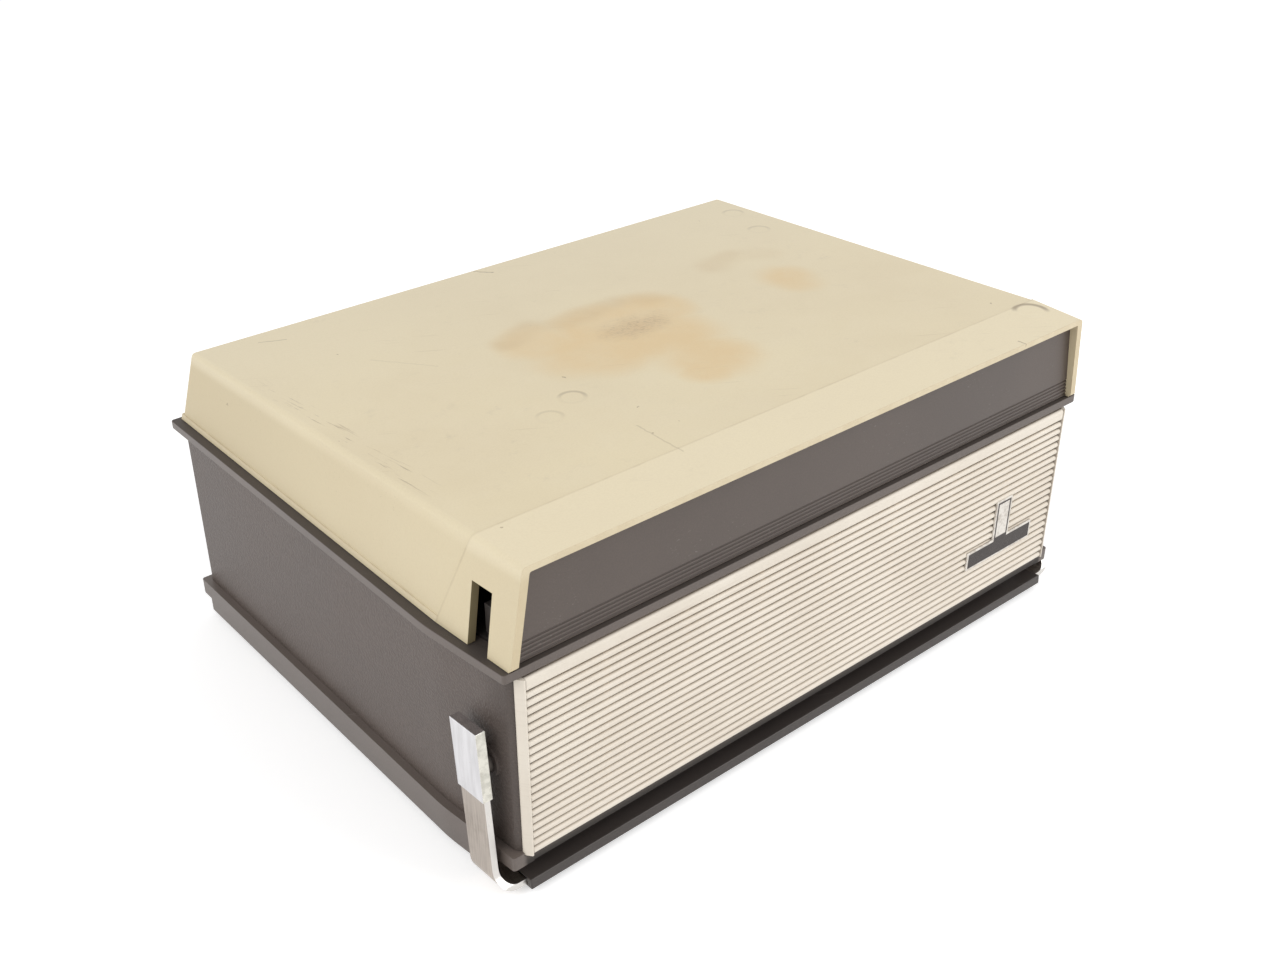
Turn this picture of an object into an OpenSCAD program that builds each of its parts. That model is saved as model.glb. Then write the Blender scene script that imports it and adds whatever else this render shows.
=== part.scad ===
// Portable reel-to-reel tape recorder, closed, with a lift-off lid and a swinging carrying handle.
// Front faces -Y, the table is z = 0, and the origin is the middle of the footprint.

/* [Case] */
// Width over the case walls, behind the drawn-in front
case_w = 376.4; // [368:0.2:390]
// Depth over the case walls
case_d = 281; // [276:0.5:296]
// Thickness of the case walls
case_wall = 3; // [2.4:0.1:4]
// Radius of the upright corners
corner_r = 4; // [3:0.5:6]
// Radius of the upright corners of the rim and the tray's lip
lip_r = 1.5; // [1:0.5:4]
// Length of the drawn-in front part of each side
nose_len = 46; // [40:1:54]
// How far each side draws in at the front
nose_in = 4.6; // [3:0.1:6]
// Radius of the soft bend where the drawn-in part starts
bend_r = 120; // [40:5:160]

/* [Rim] */
// Height of the rim's top face above the table
rim_z = 121.6; // [119:0.2:130]
// Thickness of the rim
rim_t = 4.4; // [3.6:0.1:5.2]
// Overhang of the rim past the side walls
rim_out = 4.8; // [4:0.1:6]
// Overhang of the rim past the front and rear walls
rim_out_y = 2.9; // [2:0.1:3.4]
// Width of the rim inside the wall's outer face
rim_in = 6; // [5:0.1:7]
// Depth of the skirt that drops inside the walls
rim_skirt = 9; // [6:0.5:12]

/* [Base tray] */
// Height of the rubber feet
foot_h = 3; // [2:0.2:4]
// Radius of the rubber feet
foot_r = 11; // [8:0.5:13]
// Thickness of the tray's floor
tray_t = 2.5; // [2:0.1:3.5]
// Height of the top of the tray's lip above the table
lip_top = 23.7; // [22:0.1:26]
// Height of the lip's upright face
lip_h = 8.7; // [7.5:0.1:10]
// How far the lip stands out past the side walls
lip_out = 4.1; // [3.4:0.1:4.6]
// How far the lip stands out past the front and rear walls
lip_out_y = 1.5; // [1.2:0.1:2.6]
// How far the skirt under the lip is set back from it
skirt_in = 2.4; // [1.5:0.1:3]
// Depth of the wall's seat below the top of the lip
seat_d = 4.7; // [3.5:0.1:5.2]
// Height of the grip's recess above the table
recess_h = 16.5; // [15.5:0.1:17]
// Depth of the grip's recess behind the case front
recess_d = 26; // [25:0.5:32]
// Height of the front lip's face over the grip's recess
sill_t = 6.6; // [1:0.1:7]
// Radius of the base screws
screw_r = 1.9; // [1.5:0.1:2.4]

/* [Grille] */
// Width of the speaker grille
grille_w = 363.6; // [340:0.2:366]
// Height of the speaker grille
grille_h = 93.6; // [80:0.1:94]
// How far the foot of the grille hangs below the top of the tray's lip
grille_drop = 1.5; // [0:0.1:2.5]
// How far the grille stands out of the case front
grille_t = 3.5; // [2.8:0.1:4]
// Spacing of the ribs
rib_pitch = 4.14; // [4:0.02:5]
// Gap between two ribs
rib_gap = 0.9; // [0.6:0.1:1.4]
// Width of the slanted bar at each end
end_bar = 3.2; // [2.8:0.1:4]
// How far the end bars stand out past the ribs
bar_out = 0.4; // [0:0.1:0.5]
// Least distance from the sides of the case to the speaker window
window_side = 28.7; // [24:0.1:32]
// Least height of the rail above the ribs
rail_h = 5; // [4:0.5:6]
// Width of the blank name plate
plate_w = 55; // [30:1:80]
// Height of the blank name plate
plate_h = 11; // [8:0.5:14]

/* [Lid] */
// Width of the rim left showing at each side of the lid
lid_margin = 5; // [4:0.1:6]
// Width of the rim left showing behind the lid
lid_margin_y = 3.4; // [2.5:0.1:4.5]
// Height of the lid at its rear edge
lid_rear_h = 39; // [34:0.5:42]
// Height of the lid at its crest
lid_crest_h = 47.5; // [43:0.5:50]
// Height of the lid at its front edge
lid_front_h = 46.6; // [41:0.2:49]
// How far the sides lean in at the height of the crest
lid_lean = 8; // [6:0.2:10]
// How far the rear leans in at the top
lid_rear_lean = 9.4; // [6:0.2:12]
// Distance of the crest behind the front edge
crest_back = 31; // [28:0.5:40]
// How far the front edge stands out past the case front
hood_out = 5.5; // [4.5:0.1:6.5]
// How far the foot of the cheeks is set back from the front edge
cheek_back = 1.5; // [0.5:0.1:2.5]
// Length of each cheek along its foot
cheek_len = 48.5; // [44:0.5:58]
// How far each cheek draws in at the front
cheek_in = 2.7; // [1.5:0.1:3.4]
// Wall thickness of the lid
lid_wall = 2.6; // [2:0.1:3.2]
// Width of the catch slot in each cheek
slot_w = 12.5; // [11:0.5:15]
// Height of the catch slot
slot_h = 29; // [26:0.5:32]
// Distance of the slot's middle behind the front edge
slot_back = 22.4; // [21:0.1:26]
// How far the front panel is set back from the front edge
panel_back = 4.7; // [4:0.1:6]
// Thickness of the front panel
panel_t = 3; // [2.5:0.1:3.5]
// Number of grooves along the panel's foot
grooves = 5; // [3:1:7]
// Spacing of the grooves
groove_pitch = 2; // [1.6:0.1:2.4]
// Gap between the lid and the rim
lid_gap = 0.4; // [0.2:0.1:0.6]

/* [Handle] */
// Width of the steel strap
strap_w = 17; // [15:0.5:19]
// Thickness of the steel strap
strap_t = 3; // [2.4:0.1:3.4]
// Outer radius of the strap's bends
strap_r = 10; // [8:0.5:12]
// Room between the rim's edge beside the pivot and the strap
strap_gap = 1.5; // [1.2:0.1:2.4]
// Length of the arms from the pivot to the middle of the cross bar
arm_len = 61; // [59.5:0.1:61.6]
// Height of the strap above the pivot
arm_top = 21; // [16:0.5:22]
// Forward lean of the arms, in degrees
arm_lean = 4.2; // [3:0.2:6]
// Distance of the pivot behind the case front
pivot_back = 17; // [16.5:0.1:18.5]
// Height of the pivot above the table
pivot_z = 66; // [65.6:0.1:67]
// Radius of the pivot pins
pin_r = 3; // [2.5:0.1:3.5]
// Length of the grip
grip_w = 362; // [300:1:364]
// Depth of the grip in front of the arms' middle line
grip_front = 16.6; // [13:0.1:17]
// Depth of the grip behind the arms' middle line
grip_rear = 9.9; // [9.9:0.1:10.4]
// Thickness of the grip
grip_t = 5.4; // [5:0.1:6]
// Wall of the chrome caps round the strap
cap_wall = 0.9; // [0.7:0.1:1.2]
// Length of the caps below the pivot
cap_down = 13; // [12:0.5:20]

/* [Deck] */
// Thickness of the deck plate
deck_t = 2.5; // [2:0.1:3]
// Depth of the deck plate's top below the rim's top
deck_drop = 1.1; // [0.6:0.1:1.6]
// Thickness of the control panel
ctrl_t = 2.5; // [2:0.1:3.5]
// Depth of the control panel from front to rear
ctrl_d = 42; // [40:0.5:46]
// Distance of each reel's centre from the middle
reel_x = 88; // [80:0.5:92]
// Distance of the reels' centres behind the middle
reel_y = 50; // [44:0.5:56]
// Radius of the reels
reel_r = 74; // [60:1:76]
// Radius of the reel hubs
hub_r = 22; // [18:1:30]
// Width of the tape
tape_w = 6.3; // [6:0.1:6.6]
// Outer radius of the tape on the supply reel
tape_r = 70; // [40:1:72]
// Radius of the turntables
table_r = 26; // [20:1:30]
// Radius of the reel spindles
spindle_r = 3.9; // [3.5:0.1:4.2]
// Radius of the turntable axles
axle_r = 3; // [2.5:0.1:3.4]
// Length of the head cover past the pinch arm's stud
cover_end = 9; // [8:0.5:12]
// Depth of the head cover
cover_d = 46; // [44:1:50]
// Height of the head cover
cover_h = 26; // [25:0.5:32]

/* [Controls] */
// Width of one piano key
key_w = 24; // [20:0.5:25]
// Gap between two keys
key_gap = 2; // [1:0.1:3]
// Length of a key in front of its rod
key_len = 34; // [30:0.5:35]
// Thickness of a key
key_t = 8; // [6:0.5:9]
// Radius of the key rod
rod_r = 2; // [1.6:0.1:2.4]
// Height of the key rod above the deck plate
rod_h = 10; // [9:0.5:12]
// Radius of the knobs
knob_r = 15; // [12:0.5:16]
// Height of the knobs
knob_h = 12; // [9:0.5:15]

/* [Drive] */
// Distance between the chassis and the deck plate
chassis_drop = 24; // [20:0.5:27]
// Thickness of the chassis
chassis_t = 2; // [1.5:0.1:2.5]
// Radius of the flywheel
fly_r = 38; // [32:0.5:40]
// Thickness of the flywheel
fly_t = 14; // [11:0.5:16]
// Radius of the capstan
capstan_r = 1.5; // [1.2:0.1:2]
// Distance from the motor's shaft to the capstan
drive_span = 100; // [92:1:104]
// Radius of the motor pulley
pulley_r = 6; // [4:0.5:8]
// Width of the drive belt
belt_w = 7; // [5:0.5:8]
// Thickness of the drive belt
belt_t = 1.2; // [0.8:0.1:1.6]
// Radius of the motor
motor_r = 30; // [24:1:32]
// Height of the motor
motor_h = 38; // [30:1:44]
// Radius of the pinch roller
roller_r = 9; // [7:0.5:10]
// Gap between the open pinch roller and the capstan
roller_open = 3; // [2:0.1:4]
// Distance from the pinch arm's stud to the roller
pinch_len = 28; // [26:0.5:32]

/* [Loudspeaker and supply] */
// Radius of the loudspeaker
speaker_r = 36; // [30:1:37]
// Depth of the loudspeaker's basket
basket_d = 24; // [18:1:28]
// Distance of the loudspeaker from the middle
speaker_x = 104; // [90:1:112]
// Thickness of the baffle board
baffle_t = 4; // [3:0.5:6]
// Radius of the magnet
magnet_r = 24; // [18:1:28]
// Radius of the signal sockets
socket_r = 7.6; // [7:0.1:8.5]
// Spacing of the signal sockets
socket_pitch = 24; // [20:0.5:28]
// Edge length of the transformer core
core_w = 54; // [44:1:60]

/* [Fits] */
// Radial running clearance of shafts and pins
run_gap = 0.05; // [0.02:0.01:0.08]
// Gap between pieces that are fixed to each other
fit_gap = 0.1; // [0.05:0.01:0.2]
// Room round loose holes
free_gap = 0.4; // [0.3:0.05:0.6]

/* [Hidden] */
$fn = 64;

cream = [0.87, 0.81, 0.68];
grey_brown = [0.42, 0.38, 0.36];
pale = [0.92, 0.88, 0.8];
steel = [0.72, 0.71, 0.68];
chrome = [0.88, 0.88, 0.9];
black = [0.12, 0.11, 0.11];
rubber = [0.18, 0.17, 0.17];
brown = [0.34, 0.2, 0.13];

far = 2 * case_w;
front_y = -case_d / 2;
rear_y = case_d / 2;
bend_y = front_y + nose_len;
wall_top = rim_z - rim_t;
seat_z = lip_top - seat_d;
tray_floor = foot_h + tray_t;
lip_foot = lip_top - lip_h;
recess_y = front_y + recess_d;
sill_x = case_w / 2 - nose_in - corner_r;
sill_y = front_y + case_wall + tray_t;
deck_z = rim_z - deck_drop;
deck_under = deck_z - deck_t;
ctrl_z = deck_z + ctrl_t;
ctrl_rear = front_y + rim_in + ctrl_d;
chassis_z = deck_under - chassis_drop;
boss_r = 3 * screw_r;
boss_top = seat_z + 5 * boss_r;
screw_x = case_w / 2 - case_wall - 3 * boss_r;
screw_ys = [recess_y + tray_t + 2 * boss_r, rear_y - case_wall - 3 * boss_r];
screw_head = 1.9 * screw_r;
foot_x = screw_x - screw_head - foot_r - 4 * screw_r;

function unit(v) = v / norm(v);

// Corner b of an outline as an arc of radius b[2], between its neighbours a and c
function arc(a, b, c, n) = b[2] == 0 ? [[b.x, b.y]] :
    let (p = [b.x, b.y], u = unit([a.x, a.y] - p), w = unit([c.x, c.y] - p), half = acos(u * w) / 2)
    let (mid = p + unit(u + w) * b[2] / sin(half), s = p + u * b[2] / tan(half) - mid)
    let (e = p + w * b[2] / tan(half) - mid, turn = atan2(s.x * e.y - s.y * e.x, s * e))
    [for (i = [0:n]) mid + b[2] * [cos(atan2(s.y, s.x) + turn * i / n), sin(atan2(s.y, s.x) + turn * i / n)]];

// Outline through points [x, y, corner radius]
function outline(p, n = 6) = [for (i = [0:len(p) - 1])
    each arc(p[(i + len(p) - 1) % len(p)], p[i], p[(i + 1) % len(p)], n)];

// Plan of the case, grown by gx at the sides and gy at the front and rear, with the lip's corners if sharp
module plan(gx, gy, sharp) {
    hw = case_w / 2 + gx;
    r = sharp ? lip_r : max(corner_r + min(gx, gy), 1);
    polygon(outline([[hw, rear_y + gy, r], [-hw, rear_y + gy, r], [-hw, bend_y, bend_r],
        [nose_in - hw, front_y - gy, r], [hw - nose_in, front_y - gy, r], [hw, bend_y, bend_r]]));
}

module slab(z0, z1, gx, gy, sharp = false) {
    translate([0, 0, z0]) linear_extrude(z1 - z0) plan(gx, gy, sharp);
}

// Half-width of the case wall at depth y
function wall_x(y) = case_w / 2 - (y < bend_y ? nose_in * (bend_y - y) / nose_len : 0);

module both_sides() {
    children();
    mirror([1, 0, 0]) children();
}

// Cylinder from a point, along +X or along +Y
module rod_x(p, r, len) {
    translate(p) rotate([0, 90, 0]) cylinder(r = r, h = len);
}

module rod_y(p, r, len) {
    translate(p) rotate([-90, 0, 0]) cylinder(r = r, h = len);
}

// Rounded box standing on its lower face, centred in X and Y
module round_box(size, r) {
    linear_extrude(size.z) polygon(outline([[size.x / 2, size.y / 2, r], [-size.x / 2, size.y / 2, r],
        [-size.x / 2, -size.y / 2, r], [size.x / 2, -size.y / 2, r]]));
}

// Box between two corners
module block(a, b) {
    translate(a) cube(b - a);
}

module at_screws() {
    for (x = [-screw_x, screw_x], y = screw_ys) translate([x, y, 0]) children();
}

module at_feet() {
    for (x = [-foot_x, foot_x], y = screw_ys) translate([x, y, 0]) children();
}

// Base tray: floor, skirt and the lip that the case walls stand in; at the front the lip hangs over the
// recess for the grip and is let down behind the foot of the grille
module base_tray() {
    shelf = case_wall + 2 * tray_t;
    color(grey_brown) difference() {
        union() {
            difference() {
                union() {
                    slab(lip_foot, lip_top, lip_out, lip_out_y, true);
                    slab(foot_h, lip_foot + tray_t, lip_out - skirt_in, lip_out_y - skirt_in / 2, true);
                }
                slab(seat_z, rim_z, fit_gap, fit_gap);
            }
            block([-sill_x, front_y - lip_out_y, lip_foot], [sill_x, sill_y + tray_t, lip_top]);
        }
        intersection() {
            slab(tray_floor, rim_z, -shelf, -shelf);
            block([-far, recess_y + tray_t, 0], [far, far, far]);
        }
        block([-far, -far, -far], [far, recess_y, recess_h]);
        block([tray_t - sill_x, -far, -far], [sill_x - tray_t, sill_y, lip_top - sill_t]);
        block([-grille_w / 2 - fit_gap, -far, grille_z0 - fit_gap], [grille_w / 2 + fit_gap, front_y, far]);
        at_screws() {
            cylinder(r = screw_r + free_gap, h = rim_z);
            cylinder(r = screw_head + free_gap, h = foot_h + tray_t / 2);
        }
    }
}

// Rubber feet, flat under the tray
module feet() {
    color(rubber) at_feet() cylinder(r = foot_r, h = foot_h);
}

buffer_x = case_w / 2 - 8 * case_wall;
buffer_z0 = lip_top + 3 * case_wall;
buffer_z1 = wall_top - 6 * case_wall;
buffer_r = 2.5 * case_wall;

// Buffers on the rear wall, as proud as the hood is in front, for standing the case on end
module rear_buffers() {
    color(rubber) for (x = [-buffer_x, buffer_x], z = [buffer_z0, buffer_z1])
        rod_y([x, rear_y, z + buffer_r / 2], buffer_r, hood_out);
}

// Base screws, up through the tray into the case bosses
module base_screws() {
    color(steel) at_screws() {
        translate([0, 0, foot_h]) cylinder(r = screw_head, h = tray_t / 2);
        translate([0, 0, foot_h + tray_t / 4]) cylinder(r = screw_r, h = boss_top - foot_h - 2 * boss_r);
    }
}

pivot_y = front_y + pivot_back;
pivot_boss = 2.7 * pin_r;
strap_in = wall_x(pivot_y) + rim_out + strap_gap;
strap_out = strap_in + strap_t;
cap_in = strap_in - cap_wall;
pad_x = cap_in - 5 * cap_wall;
grille_z0 = lip_top - grille_drop;
window_w = min(grille_w - 12 * end_bar, case_w - 2 * window_side);
window_z0 = grille_z0 + 2.5 * rail_h;
window_z1 = wall_top - rim_skirt - 3 * case_wall;
peg_r = 2;
peg_x = window_w / 2 + 3 * end_bar;
socket_z = (seat_z + wall_top) / 2;
sockets = 4;
socket_w = sockets * socket_pitch + socket_r;
socket_h = 4.4 * socket_r;
inlet_w = 26;
inlet_h = 18;
inlet_x = -case_w / 4;

module at_pegs(r, len) {
    for (x = [-peg_x, peg_x], z = [grille_z0 + rib_pitch + rib_h / 2, grille_z0 + grille_h - rail_h / 2])
        rod_y([x, front_y, z], r, len);
}

// Case shell: four grained walls with bosses for the base screws and the handle pins
module case_shell() {
    color(grey_brown) difference() {
        union() {
            difference() {
                slab(seat_z, wall_top, 0, 0);
                slab(0, rim_z, -case_wall, -case_wall);
            }
            at_screws() translate([0, 0, seat_z]) cylinder(r = boss_r, h = boss_top - seat_z);
            for (y = screw_ys) both_sides()
                block([screw_x, y - case_wall / 2, seat_z],
                    [wall_x(y) - case_wall / 2, y + case_wall / 2, boss_top]);
            both_sides() rod_x([pad_x - 3 * pivot_boss / 2, pivot_y, pivot_z], pivot_boss, 3 * pivot_boss / 2);
        }
        at_screws() cylinder(r = screw_r + run_gap, h = rim_z);
        block([-sill_x - fit_gap, -far, 0], [sill_x + fit_gap, sill_y + tray_t + fit_gap, lip_top + fit_gap]);
        both_sides() rod_x([0, pivot_y, pivot_z], pin_r + run_gap, far);
        block([-window_w / 2, -far, window_z0], [window_w / 2, front_y + 2 * case_wall, window_z1]);
        block([-socket_w / 2, rear_y - 2 * case_wall, socket_z - socket_h / 2],
            [socket_w / 2, far, socket_z + socket_h / 2]);
        block([inlet_x - inlet_w / 2, rear_y - 2 * case_wall, socket_z - inlet_h / 2],
            [inlet_x + inlet_w / 2, far, socket_z + inlet_h / 2]);
        at_pegs(peg_r + fit_gap, 2 * case_wall);
    }
}

rib_h = rib_pitch - rib_gap;
ribs = floor((grille_h - rail_h) / rib_pitch);
rail_z0 = grille_z0 + ribs * rib_pitch;
grille_y = front_y - grille_t;
plate_x = 135;
plate_z = grille_z0 + 26.3;
plate_t = 1.2;
badge_w = 1.2 * plate_h;
badge_h = 2.14 * plate_h;

// Outline of the name plate and its badge from y0 to y1, widened by gap
module plate_form(gap, y0, y1) {
    block([plate_x - plate_w / 2 - gap, y0, plate_z - plate_h / 2 - gap],
        [plate_x + plate_w / 2 + gap, y1, plate_z + plate_h / 2 + gap]);
    block([plate_x - badge_w / 2 - gap, y0, plate_z],
        [plate_x + badge_w / 2 + gap, y1, plate_z + plate_h / 2 + badge_h + gap]);
}

// One rail or rib: square behind and round in front
module rib(z, h) {
    r = min(h / 2, grille_t / 2);
    x = grille_w / 2 - 0.9 * end_bar;
    block([-x, grille_y + r, z], [x, front_y, z + h]);
    block([-x, grille_y, z + r], [x, front_y, z + h - r + 0.01]);
    for (zc = [z + r, z + h - r]) rod_x([-x, grille_y + r, zc], r, 2 * x);
}

// Speaker grille: ribs between two end bars, with upright stiffeners behind and four pegs
module speaker_grille() {
    hw = grille_w / 2;
    bars = 8;
    color(pale) difference() {
        union() {
            for (i = [0:ribs - 1]) rib(grille_z0 + i * rib_pitch, rib_h);
            rib(rail_z0, grille_z0 + grille_h - rail_z0);
            both_sides() translate([0, 0, grille_z0]) linear_extrude(grille_h)
                polygon(outline([[hw - end_bar, front_y, 0], [hw, front_y, 0],
                    [hw, front_y - grille_t * 0.2, grille_t * 0.1],
                    [hw - 0.75 * end_bar, grille_y - bar_out, bar_out],
                    [hw - end_bar, grille_y - bar_out, 0.8 * bar_out]]));
            for (i = [1:bars - 1])
                block([-hw + i * grille_w / bars - rib_h / 2, front_y - grille_t / 2, grille_z0],
                    [-hw + i * grille_w / bars + rib_h / 2, front_y, grille_z0 + grille_h]);
            at_pegs(peg_r, case_wall);
        }
        plate_form(fit_gap, -far, grille_y + plate_t / 2);
    }
}

// Blank name plate with an upright badge, let into the ribs
module name_plate() {
    color(black) plate_form(0, grille_y - plate_t / 2, grille_y + plate_t / 2);
}

baffle_y = front_y + case_wall + fit_gap;
speaker_y = baffle_y + baffle_t;
speaker_z = (window_z0 + window_z1) / 2;
speaker_mid = speaker_x * window_w / (grille_w - 12 * end_bar);
basket_y = speaker_y + basket_d;
neck_r = magnet_r * 0.8;

// Baffle board behind the grille opening
module baffle_board() {
    color(black) difference() {
        block([-window_w / 2 - 2 * case_wall, baffle_y, window_z0 - 2 * case_wall],
            [window_w / 2 + 2 * case_wall, speaker_y, window_z1 + 2 * case_wall]);
        rod_y([speaker_mid, 0, speaker_z] + [0, -far, 0], speaker_r * 0.9, 2 * far);
    }
}

basket_t = 1.5;

// Inner radius of the basket at depth d
function basket_in(d) = speaker_r * 0.88 - (speaker_r * 0.88 - neck_r + basket_t) * d / (basket_d - basket_t);

// Loudspeaker basket: a round frame with a rim and four windows
module speaker_basket() {
    t = basket_t;
    color(steel) translate([speaker_mid, speaker_y, speaker_z]) rotate([-90, 0, 0]) difference() {
        rotate_extrude() polygon([[speaker_r * 0.88, 0], [speaker_r, 0], [speaker_r, t], [speaker_r * 0.92, t],
            [neck_r, basket_d], [neck_r * 0.5, basket_d], [neck_r * 0.5, basket_d - t],
            [neck_r - t, basket_d - t]]);
        for (a = [0:90:270]) rotate([0, 0, a + 45])
            translate([speaker_r * 0.72, 0, basket_d * 0.5])
                cube([speaker_r * 0.4, speaker_r * 0.5, basket_d * 0.5], true);
    }
}

// Paper cone with its dust cap
module speaker_cone() {
    t = 0.8;
    rim = basket_in(2 * t) - fit_gap;
    r0 = rim - 3;
    r1 = neck_r * 0.45;
    d = basket_d * 0.7;
    color(black) translate([speaker_mid, speaker_y, speaker_z]) rotate([-90, 0, 0]) rotate_extrude()
        polygon([[0, d - 3], [r1, d - 2], [r0, t], [r0, 0], [rim, 0],
            [rim, 2 * t], [r0, 2 * t], [r1, d], [0, d]]);
}

// Magnet pot on the back of the basket
module speaker_magnet() {
    color(steel) rod_y([speaker_mid, basket_y, speaker_z], magnet_r, basket_d * 0.6);
}

cup_wall = 1.2;

// Rear panel with round signal sockets, each a cup held from behind by its collar
module socket_panel() {
    well = 3.4 * case_wall;
    y0 = rear_y - well;
    collar_y = y0 - fit_gap - cup_wall;
    xs = [for (i = [0:sockets - 1]) (i - (sockets - 1) / 2) * socket_pitch];
    w = socket_w - 2 * fit_gap;
    h = socket_h - 2 * fit_gap;
    color(black) {
        difference() {
            union() {
                block([-w / 2 - case_wall, y0, socket_z - h / 2 - case_wall],
                    [w / 2 + case_wall, rear_y - case_wall - fit_gap, socket_z + h / 2 + case_wall]);
                block([-w / 2, y0, socket_z - h / 2], [w / 2, rear_y, socket_z + h / 2]);
            }
            for (x = xs) rod_y([x, collar_y, socket_z], socket_r + cup_wall + fit_gap, far);
        }
        for (x = xs) difference() {
            union() {
                rod_y([x, collar_y, socket_z], socket_r + cup_wall, rear_y - collar_y);
                rod_y([x, collar_y, socket_z], socket_r + 2 * cup_wall, cup_wall);
            }
            rod_y([x, y0 + case_wall, socket_z], socket_r, far);
        }
    }
}

// Mains inlet with its two contact pins
module mains_inlet() {
    w = inlet_w - 2 * fit_gap;
    h = inlet_h - 2 * fit_gap;
    depth = 16;
    y0 = rear_y - depth;
    color(black) {
        difference() {
            union() {
                block([inlet_x - w / 2, y0, socket_z - h / 2], [inlet_x + w / 2, rear_y, socket_z + h / 2]);
                block([inlet_x - w / 2 - case_wall, y0, socket_z - h / 2 - case_wall],
                    [inlet_x + w / 2 + case_wall, rear_y - case_wall - fit_gap, socket_z + h / 2 + case_wall]);
            }
            block([inlet_x - w / 2 + 2, y0 + case_wall, socket_z - h / 2 + 2],
                [inlet_x + w / 2 - 2, far, socket_z + h / 2 - 2]);
        }
        for (dx = [-w / 5, w / 5]) rod_y([inlet_x + dx, y0 + 1, socket_z], 1.2, depth - 4);
    }
}

// Deck rim: flange on top of the walls, ledge under the deck plate and skirt inside the walls
module deck_rim() {
    inner = case_wall + fit_gap;
    color(grey_brown) {
        difference() {
            slab(wall_top, rim_z, rim_out, rim_out_y, true);
            slab(0, 2 * rim_z, -rim_in, -rim_in);
        }
        difference() {
            slab(wall_top - rim_skirt, deck_under, -inner, -inner);
            slab(0, wall_top - deck_t, -inner - 2.4, -inner - 2.4);
            slab(0, rim_z, -rim_in - 5, -rim_in - 5);
        }
    }
}

pinch_x = 26;
capstan_y = ctrl_rear + roller_r * 2 + roller_open + 14;
roller_y = capstan_y - capstan_r - roller_r - roller_open;
stud_x = pinch_x + pinch_len;
stud_r = 2;
motor_x = pinch_x - drive_span;
knob_side = 38;
knob_step = 40;
knob_xs = [-case_w / 2 + knob_side, -case_w / 2 + knob_side + knob_step];
knob_y = ctrl_rear - ctrl_d / 2;
shaft_r = 3;
post_x = 136;
post_ys = [ctrl_rear + 8, reel_y + 55];
reel_xs = [-reel_x, reel_x];

module at_reels() {
    for (x = reel_xs) translate([x, reel_y, 0]) children();
}

// Deck plate, with holes for the axles, the capstan, the pinch stud and the knob shafts
module deck_plate() {
    color(grey_brown) difference() {
        slab(deck_under, deck_z, -rim_in - fit_gap, -rim_in - fit_gap);
        at_reels() cylinder(r = axle_r + 2 * free_gap, h = rim_z);
        translate([pinch_x, capstan_y, 0]) cylinder(r = capstan_r + 2 * free_gap, h = rim_z);
        translate([stud_x, roller_y, 0]) cylinder(r = stud_r + free_gap, h = rim_z);
        for (x = knob_xs) translate([x, knob_y, 0]) cylinder(r = shaft_r + run_gap, h = rim_z);
    }
}

keys = 5;
key_pitch = key_w + key_gap;
key_row = keys * key_pitch;
rod_y0 = ctrl_rear - 2.4 * rod_r;
rod_z = deck_z + rod_h;
lug_t = 4;
catch_y = front_y - hood_out + slot_back;
catch_w = slot_w - 2.5;
catch_x = wall_x(catch_y) - rim_in - 6;
catch_pin_r = 1.2;
catch_z = ctrl_z + 3;
catch_lug = catch_w / 2 + free_gap;
meter_side = 82;
meter_x = case_w / 2 - meter_side;
meter_w = 40;
meter_d = 28;
meter_h = 8;
meter_wall = 1.6;
counter_side = 40;
counter_x = case_w / 2 - counter_side;
counter_w = 26;
counter_d = 16;
counter_h = 13;
wheel_r = 5;

// Control panel: plate with lugs for the key rod and the catch pins
module control_panel() {
    color(black) difference() {
        union() {
            intersection() {
                slab(deck_z, ctrl_z, -rim_in - fit_gap, -rim_in - fit_gap);
                block([-far, -far, 0], [far, ctrl_rear, far]);
            }
            for (x = [-key_row / 2 - key_gap, key_row / 2 + key_gap]) {
                block([x - lug_t / 2, rod_y0 - 2 * rod_r, deck_z], [x + lug_t / 2, rod_y0 + 2 * rod_r, rod_z]);
                rod_x([x - lug_t / 2, rod_y0, rod_z], 2 * rod_r, lug_t);
            }
            both_sides() for (y = [catch_y - catch_lug - 2, catch_y + catch_lug]) {
                block([catch_x - 3, y, deck_z], [catch_x + 3, y + 2, catch_z]);
                rod_y([catch_x, y, catch_z], 3, 2);
            }
        }
        block([-key_row / 2 - key_gap / 2, front_y + rim_in + 3, 0],
            [key_row / 2 + key_gap / 2, rod_y0 + 2 * rod_r + 0.5, ctrl_z + 0.01]);
        rod_x([-far, rod_y0, rod_z], rod_r + fit_gap / 4, 2 * far);
        both_sides() rod_y([catch_x, -far, catch_z], catch_pin_r + fit_gap / 4, far);
        for (x = knob_xs) translate([x, knob_y, 0]) cylinder(r = shaft_r + run_gap, h = rim_z + 20);
        for (p = [[meter_x, meter_w, meter_d], [counter_x, counter_w, counter_d]])
            translate([p[0], knob_y, deck_z - 1]) round_box([p[1] + 2 * fit_gap, p[2] + 2 * fit_gap, 20], 2);
    }
}

cover_y = capstan_y - roller_open;
cover_w = 2 * (stud_x + cover_end);

// Head cover: a hood open below, with a slot for the tape through both ends
module head_cover() {
    t = 2;
    color(pale) difference() {
        translate([0, cover_y, deck_z]) round_box([cover_w, cover_d, cover_h], 4);
        translate([0, cover_y, deck_z - t]) round_box([cover_w - 2 * t, cover_d - 2 * t, cover_h], 3);
        block([-far, cover_y - 5, tape_z - 2], [far, cover_y + 5, tape_z + tape_w + 2]);
    }
}

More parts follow.
